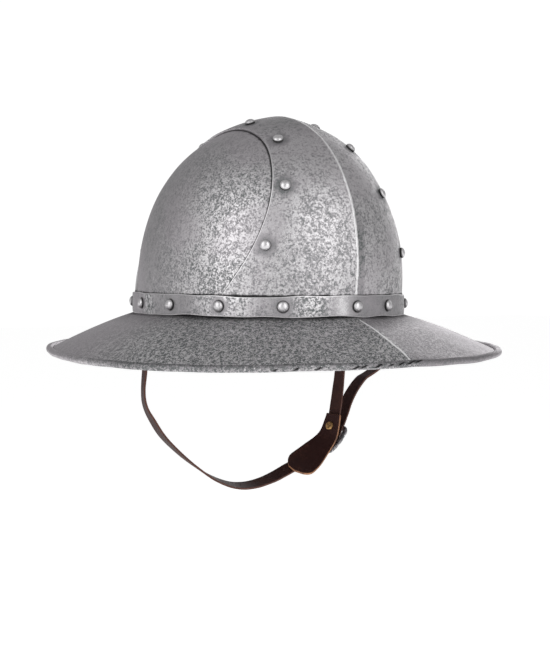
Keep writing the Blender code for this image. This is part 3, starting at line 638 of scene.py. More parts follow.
def band_rise(turn):
    """Distance of the band's outer face from the skull's foot."""
    skull, band = hat().skull, hat().band
    over = 1.0 - smooth_step(quarter_angle(turn), math.degrees(band.step_start), math.degrees(band.step_end))
    keel = keel_lift(foot_points(turn, 0.0 * turn, 0.0)[0][..., 0], 0.0)
    return band.gap + band.wall + (skull.gap + skull.wall) * over + keel


def collar_inset(turn):
    """Distance of the collar's middle surface inside the skull's foot."""
    skull, brim = hat().skull, hat().brim
    under = smooth_step(quarter_angle(turn), math.degrees(brim.step_start), math.degrees(brim.step_end))
    return brim.collar_gap + 0.5 * brim.wall - skull.gap + (skull.wall + skull.gap) * under


def deselect():
    """Leave edit mode and deselect everything."""
    if bpy.context.object and bpy.context.object.mode != "OBJECT":
        bpy.ops.object.mode_set(mode="OBJECT")
    bpy.ops.object.select_all(action="DESELECT")


def pick(piece):
    """Make a piece the only selected and active one."""
    deselect()
    piece.select_set(True)
    bpy.context.view_layer.objects.active = piece


def edit_all(step, **settings):
    """Run one step of mesh editing on the whole of the active piece."""
    bpy.ops.object.mode_set(mode="EDIT")
    bpy.ops.mesh.select_all(action="SELECT")
    step(**settings)
    bpy.ops.object.mode_set(mode="OBJECT")


def carry(piece, label, values):
    """Give a piece a named number for the finish at each of its points."""
    piece.data.attributes.new(label, "FLOAT", "POINT").data.foreach_set("value", values)


def numbers_of(collection, key, width):
    """A property of every element of a mesh, as an array."""
    values = np.zeros(len(collection) * width)
    collection.foreach_get(key, values)
    return values.reshape(-1, width) if width > 1 else values


def laid_sheet(name, points, values, outward=True):
    """A grid laid on rows of points, with a named number for the finish at each of them."""
    rows, columns = points.shape[:2]
    deselect()
    bpy.ops.mesh.primitive_grid_add(x_subdivisions=rows - 1, y_subdivisions=columns - 1, size=2.0)
    piece = bpy.context.object
    piece.name = piece.data.name = name
    places = numbers_of(piece.data.vertices, "co", 3)
    row = np.rint((places[:, 0] + 1.0) * 0.5 * (rows - 1)).astype(int)
    column = np.rint((places[:, 1] + 1.0) * 0.5 * (columns - 1)).astype(int)
    piece.data.vertices.foreach_set("co", points[row, column].ravel())
    for label, field in values.items():
        carry(piece, label, np.broadcast_to(field, (rows, columns))[row, column].ravel())
    piece.data.update()
    edit_all(bpy.ops.mesh.remove_doubles, threshold=SHEET_WELD)
    if outward:
        normals = numbers_of(piece.data.polygons, "normal", 3)
        centres = numbers_of(piece.data.polygons, "center", 3)
        if np.sum(np.sum(normals * centres, axis=1) * numbers_of(piece.data.polygons, "area", 1)) < 0.0:
            edit_all(bpy.ops.mesh.flip_normals)
    return piece


def apply_modifier(piece, kind, **settings):
    """Add a modifier with its settings and apply it."""
    pick(piece)
    bpy.ops.object.modifier_add(type=kind)
    modifier = piece.modifiers[-1]
    for key, value in settings.items():
        setattr(modifier, key, value)
    if bpy.ops.object.modifier_apply(modifier=modifier.name) != {"FINISHED"}:
        raise RuntimeError(f"{piece.name}: the modifier {kind} can't be applied")


def thicken(piece, wall, offset, rim=0):
    """Give a sheet its wall."""
    apply_modifier(
        piece, "SOLIDIFY", thickness=wall, offset=offset, use_even_offset=True, material_offset_rim=rim)


def round_edges(piece, width):
    """Round the sharp edges of a sheet."""
    apply_modifier(
        piece, "BEVEL", width=width, segments=2, limit_method="ANGLE", angle_limit=math.radians(50.0))


def dress(piece, materials):
    """Give a piece its materials, unless it has them already."""
    if not piece.data.materials:
        for material in materials:
            piece.data.materials.append(material)


def hand_in(piece, materials, nodes, smooth=40.0):
    """Give a finished piece its materials and its place in the frame."""
    if not piece.data.polygons:
        raise RuntimeError(f"{piece.name} has no faces")
    dress(piece, materials)
    pick(piece)
    bpy.ops.object.shade_smooth_by_angle(angle=math.radians(smooth))
    bpy.ops.object.transform_apply(location=True, rotation=True, scale=True)
    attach(piece, "root")
    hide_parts(*nodes)


class Value:
    """A number or colour that varies over a piece. Sums on it become nodes of its material."""

    def __init__(self, finish, socket):
        self.finish = finish
        self.socket = socket

    def __add__(self, other):
        return self.finish.math("ADD", self, other)

    def __sub__(self, other):
        return self.finish.math("SUBTRACT", self, other)

    def __mul__(self, other):
        return self.finish.math("MULTIPLY", self, other)

    def peak(self, other):
        """The larger of two numbers."""
        return self.finish.math("MAXIMUM", self, other)

    def between(self, low, high, start=0.0, end=1.0):
        """A smooth change from start to end as the number goes from low to high."""
        return self.finish.node(
            "ShaderNodeMapRange", "Result", {"interpolation_type": "SMOOTHSTEP"},
            {"Value": self, "From Min": low, "From Max": high, "To Min": start, "To Max": end})


class Finish:
    """A material built node by node on its Principled shader."""

    def __init__(self, name, metallic, roughness=0.5):
        self.material = bpy.data.materials.new(name)
        self.material.use_nodes = True
        self.tree = self.material.node_tree
        self.shader = self.tree.nodes["Principled BSDF"]
        self.send("Metallic", metallic)
        self.send("Roughness", roughness)
        self.place = self.node("ShaderNodeTexCoord", "Object", {}, {})

    def feed(self, slot, value):
        """Link a value to a slot, or set the slot to a number or colour."""
        if isinstance(value, Value):
            self.tree.links.new(value.socket, slot)
        elif hasattr(value, "__len__") and len(value) == 3 and len(slot.default_value) == 4:
            slot.default_value = (*value, 1.0)
        else:
            slot.default_value = value

    def send(self, slot, value):
        """Send a value to one of the shader's slots."""
        self.feed(self.shader.inputs[slot], value)

    def node(self, kind, output, settings, inputs):
        """Add a node with its settings and inputs, and give back what it puts out."""
        made = self.tree.nodes.new(kind)
        for key, value in settings.items():
            setattr(made, key, value)
        for key, value in inputs.items():
            self.feed(made.inputs[key], value)
        return Value(self, made.outputs[output])

    def noise(self, name):
        """One of the noises in the table."""
        row = NOISE_TABLE[name]
        return self.node("ShaderNodeTexNoise", "Fac", {}, {
            "Vector": self.place, "Scale": row.scale, "Detail": row.detail, "Roughness": row.rough,
            "Distortion": row.bend})

    def cells(self, scale):
        """Distance to the nearest of scattered cells."""
        return self.node("ShaderNodeTexVoronoi", "Distance", {}, {"Vector": self.place, "Scale": scale})

    def math(self, operation, first, second=0.0, clamp=False):
        """One sum on values or numbers."""
        return self.node(
            "ShaderNodeMath", 0, {"operation": operation, "use_clamp": clamp}, {0: first, 1: second})

    def field(self, name):
        """A named number that the piece carries at each point."""
        return self.node("ShaderNodeAttribute", "Fac", {"attribute_name": name}, {})

    def ragged(self, name, wobble, reach):
        """A named distance that the wobble makes uneven."""
        return self.field(name) + wobble * reach

    def blend(self, share, first, second):
        """A number between two others."""
        return self.node("ShaderNodeMix", 0, {"data_type": "FLOAT"}, {0: share, 2: first, 3: second})

    def paint(self, share, first, second):
        """A colour between two others."""
        return self.node("ShaderNodeMix", 2, {"data_type": "RGBA"}, {0: share, 6: first, 7: second})

    def relief(self, height, depth, strength):
        """Send a height to the shader's normal."""
        self.send("Normal", self.node("ShaderNodeBump", "Normal", {}, {
            "Strength": strength, "Distance": depth, "Height": height}))


def mottled_steel(name):
    """A finish with its mottling of dark and bright spots, and the blotches and drift behind them."""
    row = STEEL_TABLE[name]
    finish = Finish(f"{name}_steel", 1.0)
    grain = finish.noise(f"{name}_grain")
    blotch = finish.noise(f"{name}_blotch")
    drift = finish.noise("drift")
    mix = grain * 0.72 + blotch * 0.28 + (drift - 0.5) * row.drift
    return finish, mix.between(row.low, row.high), blotch, drift


def paint_steel(finish, tone, shade_and_grime, tint, shine=0.0, depth=0.00015, polish=0.0):
    """Colour, roughness and relief of steel.

    Tone goes from dark to bright. Shade and grime, tint and shine are shares; shade and grime is painted
    shade in seams, crevices and under edges, mixed with dirt.
    Depth is the relief's in metres, and polish is how much less rough the steel is than the plates.
    """
    look = hat().finish
    dust = finish.noise("dust")
    tone = finish.math("ADD", tone, (dust - 0.5) * 0.7, clamp=True)
    dark = finish.paint(tone.between(0.0, 0.5), look.patina, look.steel)
    clean = finish.paint(tone.between(0.5, 1.0), dark, look.bright)
    rubbed = finish.paint(shine, finish.paint(tint, clean, look.tint), look.shine)
    # The shade-and-grime share darkens the colour: painted shade mixed with dirt
    finish.send("Base Color", finish.paint(shade_and_grime, rubbed, look.shade_and_grime))
    worn = finish.blend(tone, look.dark_roughness - polish, look.bright_roughness - polish)
    finish.send("Roughness", finish.blend(shade_and_grime, worn, look.grime_roughness))
    finish.relief(tone, depth, 0.7)
    return finish.material


def side_steel():
    """Finish of the side plates: fine dark specks that thin out towards the edges."""
    finish, spots, blotch, drift = mottled_steel("side")
    wobble = blotch - 0.5
    calm = finish.blend(blotch, 0.20, 0.60)
    tone = finish.blend(finish.field("mottle"), calm, finish.blend(spots, 0.12, 0.90))
    # Darker near the overlay's edge and just above the band: painted shade where the overlay and the band
    # stand over the plate, mixed with dirt
    seam = finish.ragged("seam", wobble, 1.4).between(0.6, 2.1, 0.88, 0.0)
    foot = finish.ragged("foot", wobble, 1.4).between(0.1, 1.3, 0.9, 0.0)
    return paint_steel(finish, tone, seam.peak(foot), drift.between(0.45, 0.6) * 0.35)


def overlay_steel():
    """Finish of the overlay: larger blotches, calm haloes round the rivets and bright worn edges."""
    finish, spots, blotch, drift = mottled_steel("overlay")
    wobble = blotch - 0.5
    halo = finish.ragged("rivet", wobble, 6.0).between(5.0, 11.0)
    calm = finish.blend(blotch, 0.06, 0.36)
    tone = finish.blend(finish.field("mottle") * halo, calm, finish.blend(spots, 0.22, 0.80))
    tone = finish.blend(finish.field("strip"), tone, finish.blend(spots, 0.06, 0.36))
    edge = finish.ragged("edge", wobble, 1.2).between(0.6, 1.4, 1.0, 0.0)
    tone = finish.blend(edge, tone, 1.0)
    rubbed = finish.ragged("ridge", wobble, 2.6).between(0.5, 1.2, 0.9, 0.0)
    # Darker just above the band: painted shade along the band's top edge, mixed with dirt
    shade_and_grime = finish.ragged("foot", wobble, 1.6).between(0.1, 1.5, 0.9, 0.0)
    return paint_steel(finish, tone, shade_and_grime, drift.between(0.5, 0.62) * 0.3, rubbed)


def band_steel():
    """Finish of the band: mottled stretches, smooth ones round the rivets and bright edges."""
    finish, spots, blotch, drift = mottled_steel("band")
    wobble = blotch - 0.5
    halo = finish.ragged("rivet", wobble, 5.0).between(5.0, 9.0)
    calm = finish.blend(blotch, 0.15, 0.60)
    tone = finish.blend(finish.field("mottle") * halo, calm, finish.blend(spots, 0.08, 0.92))
    tone = finish.blend(finish.field("streak") * 0.8, tone, 1.0)
    edge = finish.ragged("edge", wobble, 1.0).between(0.3, 0.9, 0.85, 0.0)
    tone = finish.blend(edge, tone, 1.0)
    # Darker in a ring just outside each rivet's head: painted shade at the rivets' feet, mixed with dirt
    ring = finish.field("rivet").between(4.0, 5.2, 0.8, 0.0)
    return paint_steel(finish, tone, ring, drift.between(0.5, 0.62) * 0.4)


def brim_steel():
    """Finish of the brim: a dark ground with a fine bright crackle and dark splits in the roll."""
    finish = Finish("brim_steel", 1.0)
    lip, mottle = finish.field("lip"), finish.field("mottle")
    fine = finish.noise("brim_grain").between(0.50, 0.57)
    thread = finish.math("ABSOLUTE", finish.noise("brim_thread") - 0.5)
    crackle = fine.peak(thread.between(0.010, 0.045, 1.0, 0.0))
    blotch = finish.noise("brim_blotch")
    wobble = blotch - 0.5
    tone = finish.blend(mottle, finish.blend(blotch, 0.36, 0.70), crackle)
    # The rolled edge and the cone's last bit are painted darker: painted shade on the roll
    tone = tone * lip.between(0.5, 0.9, 1.0, 0.45)
    chips = finish.noise("brim_chips").between(0.61, 0.66) * finish.field("chip")
    rubbed = finish.ragged("ridge", wobble, 2.4).between(0.6, 1.4, 1.0, 0.0).peak(chips)
    # Darker on the brim just below the band, fading outwards: painted shadow of the band, weaker on the
    # rubbed crease
    shadow = finish.ragged("foot", wobble, 5.0)
    shade_and_grime = shadow.between(0.5, 9.0, 0.8, 0.0).peak(shadow.between(2.0, 24.0, 0.30, 0.0))
    shade_and_grime = shade_and_grime * finish.blend(rubbed, 1.0, 0.25)
    # Painted shadow of the roll on the cone, and a painted shade line where the roll's raw edge meets the
    # cone
    shade_and_grime = shade_and_grime.peak(finish.field("roll_shadow") * 0.75).peak(lip.between(0.4, 0.9, 0.0, 0.30))
    paint_steel(finish, tone, shade_and_grime, mottle.between(0.2, 1.0, 0.8, 0.15) * 0.8, rubbed)
    # The splits are not cut: they are painted black, as painted shade inside the cracks
    painted = Value(finish, finish.shader.inputs["Base Color"].links[0].from_socket)
    finish.send("Base Color", finish.paint(finish.field("crack"), painted, hat().finish.split))
    return finish.material


def rivet_steel():
    """Finish of the rivets: bright domes with dark feet."""
    finish = Finish("rivet_steel", 1.0)
    tone = finish.blend(finish.noise("rivet_clouds"), 0.70, 1.15)
    # Darker towards the foot of the head: painted shade in the crevice round the foot, mixed with dirt
    shade_and_grime = finish.field("height").between(0.5, 2.3, 0.95, 0.0)
    return paint_steel(finish, tone, shade_and_grime, 0.1, depth=0.0002, polish=0.03)


def buckle_steel():
    """Finish of the buckle: darkened steel that is rubbed bright."""
    finish = Finish("buckle_steel", 1.0)
    tone = finish.noise("buckle_clouds").between(0.38, 0.62)
    return paint_steel(finish, tone, 0.0, 0.1, depth=0.0003, polish=0.08)


def strap_leather():
    """Finish of the straps and the pad: dark brown grain with rubbed places."""
    look = hat().finish
    finish = Finish("strap_leather", 0.0)
    folds = finish.noise("leather_folds")
    worn = finish.noise("leather_wear").between(0.46, 0.72)
    edge = finish.field("edge").between(0.1, 1.1, 0.5, 0.0)
    rubbed = (worn * folds.between(0.35, 0.6)).peak(edge)
    finish.send("Base Color", finish.paint(rubbed, look.grain, look.inner))
    finish.send("Roughness", finish.blend(worn, 0.58, 0.72))
    finish.send("Specular IOR Level", 0.26)
    finish.send("Specular Tint", look.sheen)
    finish.relief(finish.cells(1500.0) * 0.5 + folds * 0.7, 0.0002, 0.6)
    return finish.material


def cut_leather(name, bright):
    """Finish of the cut edges: fibres between the worn leather and a lighter colour."""
    finish = Finish(name, 0.0, 0.75)
    fibres = finish.noise("cut_fibres")
    patches = finish.noise("cut_patches").between(0.3, 0.6, 0.35, 1.0)
    worn = fibres.between(0.3, 0.62) * patches
    finish.send("Base Color", finish.paint(worn, hat().finish.inner, bright))
    finish.relief(fibres, 0.0002, 0.6)
    return finish.material


def rivet_brass():
    """Finish of the pad's rivet: dull brass with dark spots."""
    look = hat().finish
    finish = Finish("rivet_brass", 1.0)
    clean = finish.noise("brass_spots").between(0.36, 0.56)
    finish.send("Base Color", finish.paint(clean, look.tarnish, look.brass))
    finish.send("Roughness", finish.blend(clean, 0.62, 0.42))
    finish.relief(clean, 0.0001, 0.5)
    return finish.material


def nearest(points, places):
    """Distance in millimetres from each point to the nearest of the places."""
    best = np.full(points.shape[:-1], 1e9)
    for place in places:
        best = np.minimum(best, np.linalg.norm(points - np.array(place), axis=-1))
    return MM * best


def frame_at(point, direction):
    """A matrix whose Z axis points along a direction."""
    turn = Vector(direction).to_track_quat("Z", "Y")
    return Matrix.Translation(Vector(point)) @ turn.to_matrix().to_4x4()


def arch_places():
    """Name, matrix and depth of each rivet along the overlay's edges."""
    skull, rivet = hat().skull, hat().rivet
    places = []
    depth = 2.0 * rivet.fit + 2.0 * skull.wall + skull.gap + rivet.facet
    for label, hand in HANDS:
        for index, row in enumerate(ARCH_TABLE, 1):
            rise = np.array(getattr(row, label))
            side = edge_angles(rise) - math.degrees(rivet.arch_inset)
            point, normal = overlay_points(rise, hand * side)
            places.append((f"arch_rivet_{label}_{index}", frame_at(point, normal), depth))
    return places


def band_places():
    """Name, matrix and depth of each rivet of the band."""
    brim, rivet, strap = hat().brim, hat().rivet, hat().strap
    turns = [("front", 0.0), ("back", 180.0)]
    turns += [(f"right_{index}", -row.right) for index, row in enumerate(BAND_TABLE, 1)]
    turns += [(f"left_{index}", row.left) for index, row in enumerate(BAND_TABLE, 1)]
    places = []
    for label, turn in turns:
        turn = np.array(turn)
        out = band_rise(turn)
        point, normal = foot_points(turn, out, -rivet.band_drop)
        depth = float(out + collar_inset(turn)) + 0.5 * brim.wall + 2.0 * rivet.fit + rivet.facet
        if abs(float(turn)) == BAND_TABLE[STRAP_RIVET].left:
            depth += strap.anchor_gap + strap.wall
        places.append((f"band_rivet_{label}", frame_at(point, normal), depth))
    return places


def rivet_distance(points, rivets):
    """Distance in millimetres from each point to the nearest rivet."""
    return np.minimum(nearest(points, [tuple(matrix.translation) for _, matrix, _ in rivets]), FAR)


def step_back(turn, spread, seed):
    """A row of small uneven shifts along an edge, between about -1 and 1."""
    turn = np.radians(turn)
    total = 0.0
    for order, (rate, phase) in enumerate(((3.0, 0.7), (5.0, 2.1), (8.0, 4.4), (13.0, 1.3), (21.0, 3.7))):
        wave = np.sin(turn * rate * spread + phase + seed * (order + 1.7))
        total = total + wave / (1.0 + 0.35 * order)
    return total / 2.2


def turned_piece(name, profile, sides):
    """A round piece raised ring by ring from its profile of radius and height, top first."""
    deselect()
    bpy.ops.mesh.primitive_circle_add(
        vertices=sides, radius=profile[0][0], fill_type="NOTHING", location=(0.0, 0.0, profile[0][1]))
    piece = bpy.context.object
    piece.name = piece.data.name = name
    bpy.ops.object.transform_apply(location=True)
    bpy.ops.object.mode_set(mode="EDIT")
    bpy.ops.mesh.select_all(action="SELECT")
    bpy.ops.mesh.extrude_region_move(TRANSFORM_OT_translate={"value": (0.0, 0.0, 0.0)})
    bpy.ops.mesh.merge(type="CENTER")
    bpy.ops.object.mode_set(mode="OBJECT")
    for (radius, height), (wide, low) in zip(profile, profile[1:]):
        places = numbers_of(piece.data.vertices, "co", 3)
        level = np.abs(places[:, 2] - height) < 1e-7
        ring = level & (np.hypot(places[:, 0], places[:, 1]) > 0.5 * radius)
        piece.data.vertices.foreach_set("select", ring)
        piece.data.edges.foreach_set(
            "select", [bool(ring[edge.vertices[0]] and ring[edge.vertices[1]]) for edge in piece.data.edges])
        piece.data.polygons.foreach_set("select", [False] * len(piece.data.polygons))
        bpy.ops.object.mode_set(mode="EDIT")
        bpy.ops.mesh.extrude_region_move(TRANSFORM_OT_translate={"value": (0.0, 0.0, low - height)})
        bpy.ops.transform.resize(value=(wide / radius, wide / radius, 1.0), center_override=(0.0, 0.0, low))
        bpy.ops.object.mode_set(mode="OBJECT")
    bpy.ops.object.mode_set(mode="EDIT")
    bpy.ops.mesh.extrude_region_move(TRANSFORM_OT_translate={"value": (0.0, 0.0, 0.0)})
    bpy.ops.mesh.merge(type="CENTER")
    edit_all(bpy.ops.mesh.normals_make_consistent, inside=False)
    return piece


class HAT_OT_side_plates(bpy.types.Operator):
    """Make the two side plates of the skull"""

    bl_idname = "kettle_hat.side_plates"
    bl_label = "Side Plates"

    def execute(self, context):
        skull, band = hat().skull, hat().band
        rise, drop = arch_rows()
        edge = edge_angles(rise, drop)
        under = math.degrees(skull.underlap)
        share = np.concatenate([np.linspace(0.0, 0.25, 12)[:-1], np.linspace(0.25, 1.0, 44)])[None, :]
        finish = side_steel()
        for label, hand in HANDS:
            side = edge - under + (90.0 - edge + under) * share
            points = skull_points(rise, hand * side, drop + 0.0 * side)
            normals = skull_normals(points)
            points += normals * (skull.dents * waves(points))[..., None]
            line = skull_points(rise, hand * edge, drop + 0.0 * edge)
            front = -points[..., 1] / skull.half_length
            height = points[..., 2] / skull.height
            mottle = smooth_step(front, -0.25, 0.55) * (1.0 - 0.55 * smooth_step(height, 0.5, 0.9))
            values = {
                "seam": MM * np.linalg.norm(points - line, axis=-1) * np.sign(side - edge),
                "foot": MM * (points[..., 2] - band.top),
                "mottle": 0.30 + 0.70 * mottle,
            }
            piece = laid_sheet(f"skull_side_{label}", points, values)
            thicken(piece, skull.wall, -1.0)
            hand_in(piece, [finish], [f"side_plate_{label}"])
        return {"FINISHED"}


class HAT_OT_overlay(bpy.types.Operator):
    """Make the overlay plate with its keel"""

    bl_idname = "kettle_hat.overlay"
    bl_label = "Overlay Plate"

    def execute(self, context):
        skull, band = hat().skull, hat().band
        rise, drop = arch_rows()
        half = np.concatenate([
            [0.0, 0.008, 0.018, 0.032, 0.055], np.linspace(0.09, 0.96, 32), [0.975, 0.988, 1.0]])
        share = np.concatenate([-half[:0:-1], half])[None, :]
        edge = edge_angles(rise, drop)
        side = share * edge
        points, normals = overlay_points(rise, side, drop + 0.0 * side)
        points += normals * (skull.dents * waves(points))[..., None]
        border, _ = overlay_points(rise, np.sign(side) * edge, drop + 0.0 * side)
        height = points[..., 2] / skull.height
        strip = smooth_step(points[..., 0], 0.0006, 0.0016)
        strip = strip * (1.0 - smooth_step(points[..., 0], 0.0055, 0.0085))
        values = {
            "edge": MM * np.linalg.norm(points - border, axis=-1) + 2.0 * smooth_step(height, 0.80, 0.92),
            "ridge": MM * np.abs(points[..., 0]),
            "rivet": rivet_distance(points, arch_places()),
            "foot": MM * (points[..., 2] - band.top),
            "mottle": 1.0 - 0.5 * smooth_step(height, 0.84, 1.0),
            "strip": 0.85 * strip * (1.0 - smooth_step(height, 0.30, 0.55)) * (points[..., 1] < 0.0),
        }
        piece = laid_sheet("skull_overlay", points, values)
        thicken(piece, skull.wall + 0.8 * skull.gap, -1.0)
        round_edges(piece, skull.rounding)
        hand_in(piece, [overlay_steel()], ["overlay_plate"])
        return {"FINISHED"}


class HAT_OT_band(bpy.types.Operator):
    """Make the riveted band round the foot of the skull"""

    bl_idname = "kettle_hat.band"
    bl_label = "Band"

    def execute(self, context):
        band = hat().band
        turn = np.linspace(0.0, 360.0, 721)[:, None]
        share = np.linspace(0.0, 1.0, 13)[None, :]
        wrapped = front_turn(turn)
        top = band.top + band.wave * step_back(turn, 1.0, 0.0)
        bottom = band.bottom + band.wave * (step_back(turn, 1.0, 2.0) + 1.4 * hump(wrapped, -9.0, 7.0))
        z = bottom + (top - bottom) * share
        bulge = band.dome * (1.0 - (2.0 * share - 1.0) ** 2) - band.tuck
        points, normals = foot_points(turn + 0.0 * share, band_rise(turn) + bulge, z)
        points += normals * (band.dents * waves(points, 0.7))[..., None]
        values = {
            "edge": MM * np.minimum(top - z, z - bottom),
            "rivet": rivet_distance(points, band_places()),
            "mottle": self.mottle(wrapped) + 0.0 * share,
            "streak": hump(wrapped, -6.5, 3.5) * (1.0 - 0.4 * share),
        }
        piece = laid_sheet("skull_band", points, values)
        thicken(piece, band.wall, -1.0)
        round_edges(piece, band.rounding)
        hand_in(piece, [band_steel()], ["band"])
        return {"FINISHED"}

    def mottle(self, turn):
        """Where the band is mottled: near the front on its right, and here and there elsewhere."""
        front = np.maximum(hump(turn, -52.0, 17.0), hump(turn, -20.0, 9.0))
        away = smooth_step(np.abs(turn + 30.0), 44.0, 64.0)
        return np.clip(front + away * (0.4 + 0.5 * step_back(turn, 1.6, 5.0)), 0.0, 1.0)


class HAT_OT_brim(bpy.types.Operator):
    """Make the brim with its collar, crease and rolled edge"""

    bl_idname = "kettle_hat.brim"
    bl_label = "Brim"

    def execute(self, context):
        brim, band = hat().brim, hat().band
        turn = np.concatenate([
            np.linspace(-62.0, 6.0, 331)[:-1], np.linspace(6.0, 298.0, 381)])[:, None]
        inset = collar_inset(turn)
        root = -brim.root - 0.5 * brim.wall
        bend = np.radians(np.linspace(0.0, 68.0, 6))[None, :]
        collar_z = np.linspace(brim.collar_top, root + brim.shoulder, 4)[None, :-1]
        collar = foot_points(turn + 0.0 * collar_z, -inset + 0.0 * collar_z, collar_z)[0]
        out = -inset + brim.shoulder * (1.0 - np.cos(bend))
        arc = foot_points(turn + 0.0 * bend, out, root + brim.shoulder * (1.0 - np.sin(bend)))[0]
        roll = brim.roll_radius - 0.5 * brim.wall
        start, end = math.degrees(brim.roll_start), math.degrees(brim.roll_end)
        share = np.concatenate([
            [0.0, 0.06, 0.12, 0.17], np.linspace(0.21, 0.6, 16), [0.7, 0.8, 0.9, 1.0]])[None, :]
        curl = np.radians(start + (end - start + 7.0 * step_back(turn, 5.0, 1.0)) * share)
        rows = smooth_path(RIM_TABLE, 8)
        wrapped = front_turn(turn)
        out = np.interp(wrapped, rows[:, 0], rows[:, 1])
        up = np.interp(wrapped, rows[:, 0], rows[:, 2])
        hoop = rim_points(
            turn + 0.0 * share, roll * np.cos(curl) - brim.roll_radius + out,
            roll * np.sin(curl) - brim.rim_drop + brim.roll_radius + up)
        along = np.concatenate([np.linspace(0.0, 0.92, 27)[1:], [0.935, 0.95, 0.965, 0.98, 0.99]])[None, :]
        first = arc[:, -1:]
        cone = first + (hoop[:, :1] - first) * along[..., None]
        points = np.concatenate([collar, arc, cone, hoop], axis=1)
        part = np.concatenate([0.0 * collar_z, 0.0 * bend, along, 0.0 * share + 1.0], axis=1)
        points[..., 2] += brim.bulge * np.sin(math.pi * np.clip(part, 0.0, 1.0)) ** 0.7
        aside = points[..., 0] + brim.crease_slant * (0.9 - part) * (points[..., 1] < 0.0)
        near = np.maximum(0.0, 1.0 - np.hypot(aside, brim.crease_blunt) / brim.crease_half_width)
        lift = smooth_step(part, 0.0, 0.15) * (1.0 - 0.8 * smooth_step(part, 0.8, 1.0))
        points[..., 2] += brim.crease_height * near * near * lift
        points[..., 2] += brim.dents * waves(points, 1.2) * smooth_step(part, 0.1, 0.5)
        # Share along the rolled edge: it sets the painted shade on the roll and where its chips show
        lip = np.concatenate(
            [0.0 * collar_z, 0.0 * bend, smooth_step(along, 0.93, 1.0), 0.6 + 0.4 * share], axis=1)
        crack = self.cracks(wrapped, share)
        sound = np.zeros((len(turn), points.shape[1] - crack.shape[1]))
        band_foot = foot_points(turn, band_rise(turn), band.bottom)[0]
        calm = smooth_step(aside, -0.002, 0.006) * (np.abs(wrapped - FADE_TABLE["mottle"].middle) < 90.0)
        values = {
            "ridge": MM * np.abs(aside) + 3.0 * (1.0 - smooth_step(part, 0.0, 0.25))
            + 20.0 * smooth_step(part, 0.93, 1.0) + 20.0 * (points[..., 1] > 0.0),
            "lip": lip * (0.25 + 0.75 * shown("lip", wrapped)),
            "chip": lip * shown("chip", wrapped),
            # Painted shadow of the rolled edge: a thin dark line on the cone just above the roll
            "roll_shadow": hump(part, 0.965, 0.020) * shown("roll_shadow", wrapped)
            * (1.0 + 0.35 * hump(wrapped, -4.0, 8.0)),
            "crack": np.concatenate([sound, crack], axis=1),
            "foot": MM * np.linalg.norm(points - band_foot, axis=-1),
            "mottle": (0.4 + 0.6 * shown("mottle", wrapped)) * (1.0 - 0.45 * calm),
        }
        piece = laid_sheet("hat_brim", points, values)
        thicken(piece, brim.wall, 0.0)
        hand_in(piece, [brim_steel()], ["brim"])
        return {"FINISHED"}

    def cracks(self, turn, share):
        """Depth of the short slanted splits in the roll, from 0 to 1."""
        depth = np.zeros(np.broadcast_shapes(turn.shape, share.shape))
        for row in SPLIT_TABLE:
            line = hump(turn - row.turn, row.slant * (share - row.share), row.wide)
            span = smooth_step(np.abs(share - row.share), 0.5 * row.run, 0.5 * row.run + 0.04)
            depth = np.maximum(depth, line * (1.0 - span))
        return depth


class HAT_OT_rivets(bpy.types.Operator):
    """Make the rivets of the overlay and the band"""

    bl_idname = "kettle_hat.rivets"
    bl_label = "Rivets"

    def execute(self, context):
        rivet = hat().rivet
        wide, high = rivet.head_radius, rivet.head_height
        middle = rivet.foot_share * high
        profile = []
        for step in np.linspace(6.0, 90.0, 10):
            turn = math.radians(step)
            profile.append((wide * math.sin(turn), middle + (high - middle) * math.cos(turn)))
        profile += [(0.985 * wide, 0.4 * middle), (0.93 * wide, 0.0), (0.9 * wide, -0.5 * rivet.fit)]
        finish = rivet_steel()
        model = turned_piece("rivet_model", profile, 32)
        carry(model, "height", MM * numbers_of(model.data.vertices, "co", 3)[:, 2])
        for index, (name, matrix, depth) in enumerate(arch_places() + band_places()):
            piece = bpy.data.objects.new(name.replace("_rivet", "_head"), model.data.copy())
            bpy.context.scene.collection.objects.link(piece)
            turn = Matrix.Rotation(2.4 * index, 4, "Z")
            lean = Matrix.Rotation(math.radians(2.5 * math.sin(3.1 * index)), 4, "X")
            oval, tall = 1.0 + 0.03 * math.sin(1.3 * index), 1.0 + 0.06 * math.sin(2.2 * index)
            piece.data.transform(matrix @ lean @ turn @ Matrix.Diagonal((oval, 1.0, tall, 1.0)))
            tail = self.clench(depth)
            tail.data.transform(matrix)
            pick(piece)
            tail.select_set(True)
            bpy.ops.object.join()
            hand_in(piece, [finish], [name])
        bpy.data.objects.remove(model)
        return {"FINISHED"}

    def clench(self, depth):
        """The shank and the clenched end behind the sheets."""
        rivet = hat().rivet
        low = -depth + rivet.fit
        profile = [
            (rivet.shank_radius, rivet.shank_top), (rivet.shank_radius, low), (rivet.clench_radius, low),
            (0.9 * rivet.clench_radius, low - 0.5 * rivet.clench_height),
            (0.5 * rivet.clench_radius, low - 0.92 * rivet.clench_height),
        ]
        piece = turned_piece("clench", profile, 20)
        carry(piece, "height", np.full(len(piece.data.vertices), 2.0))
        return piece


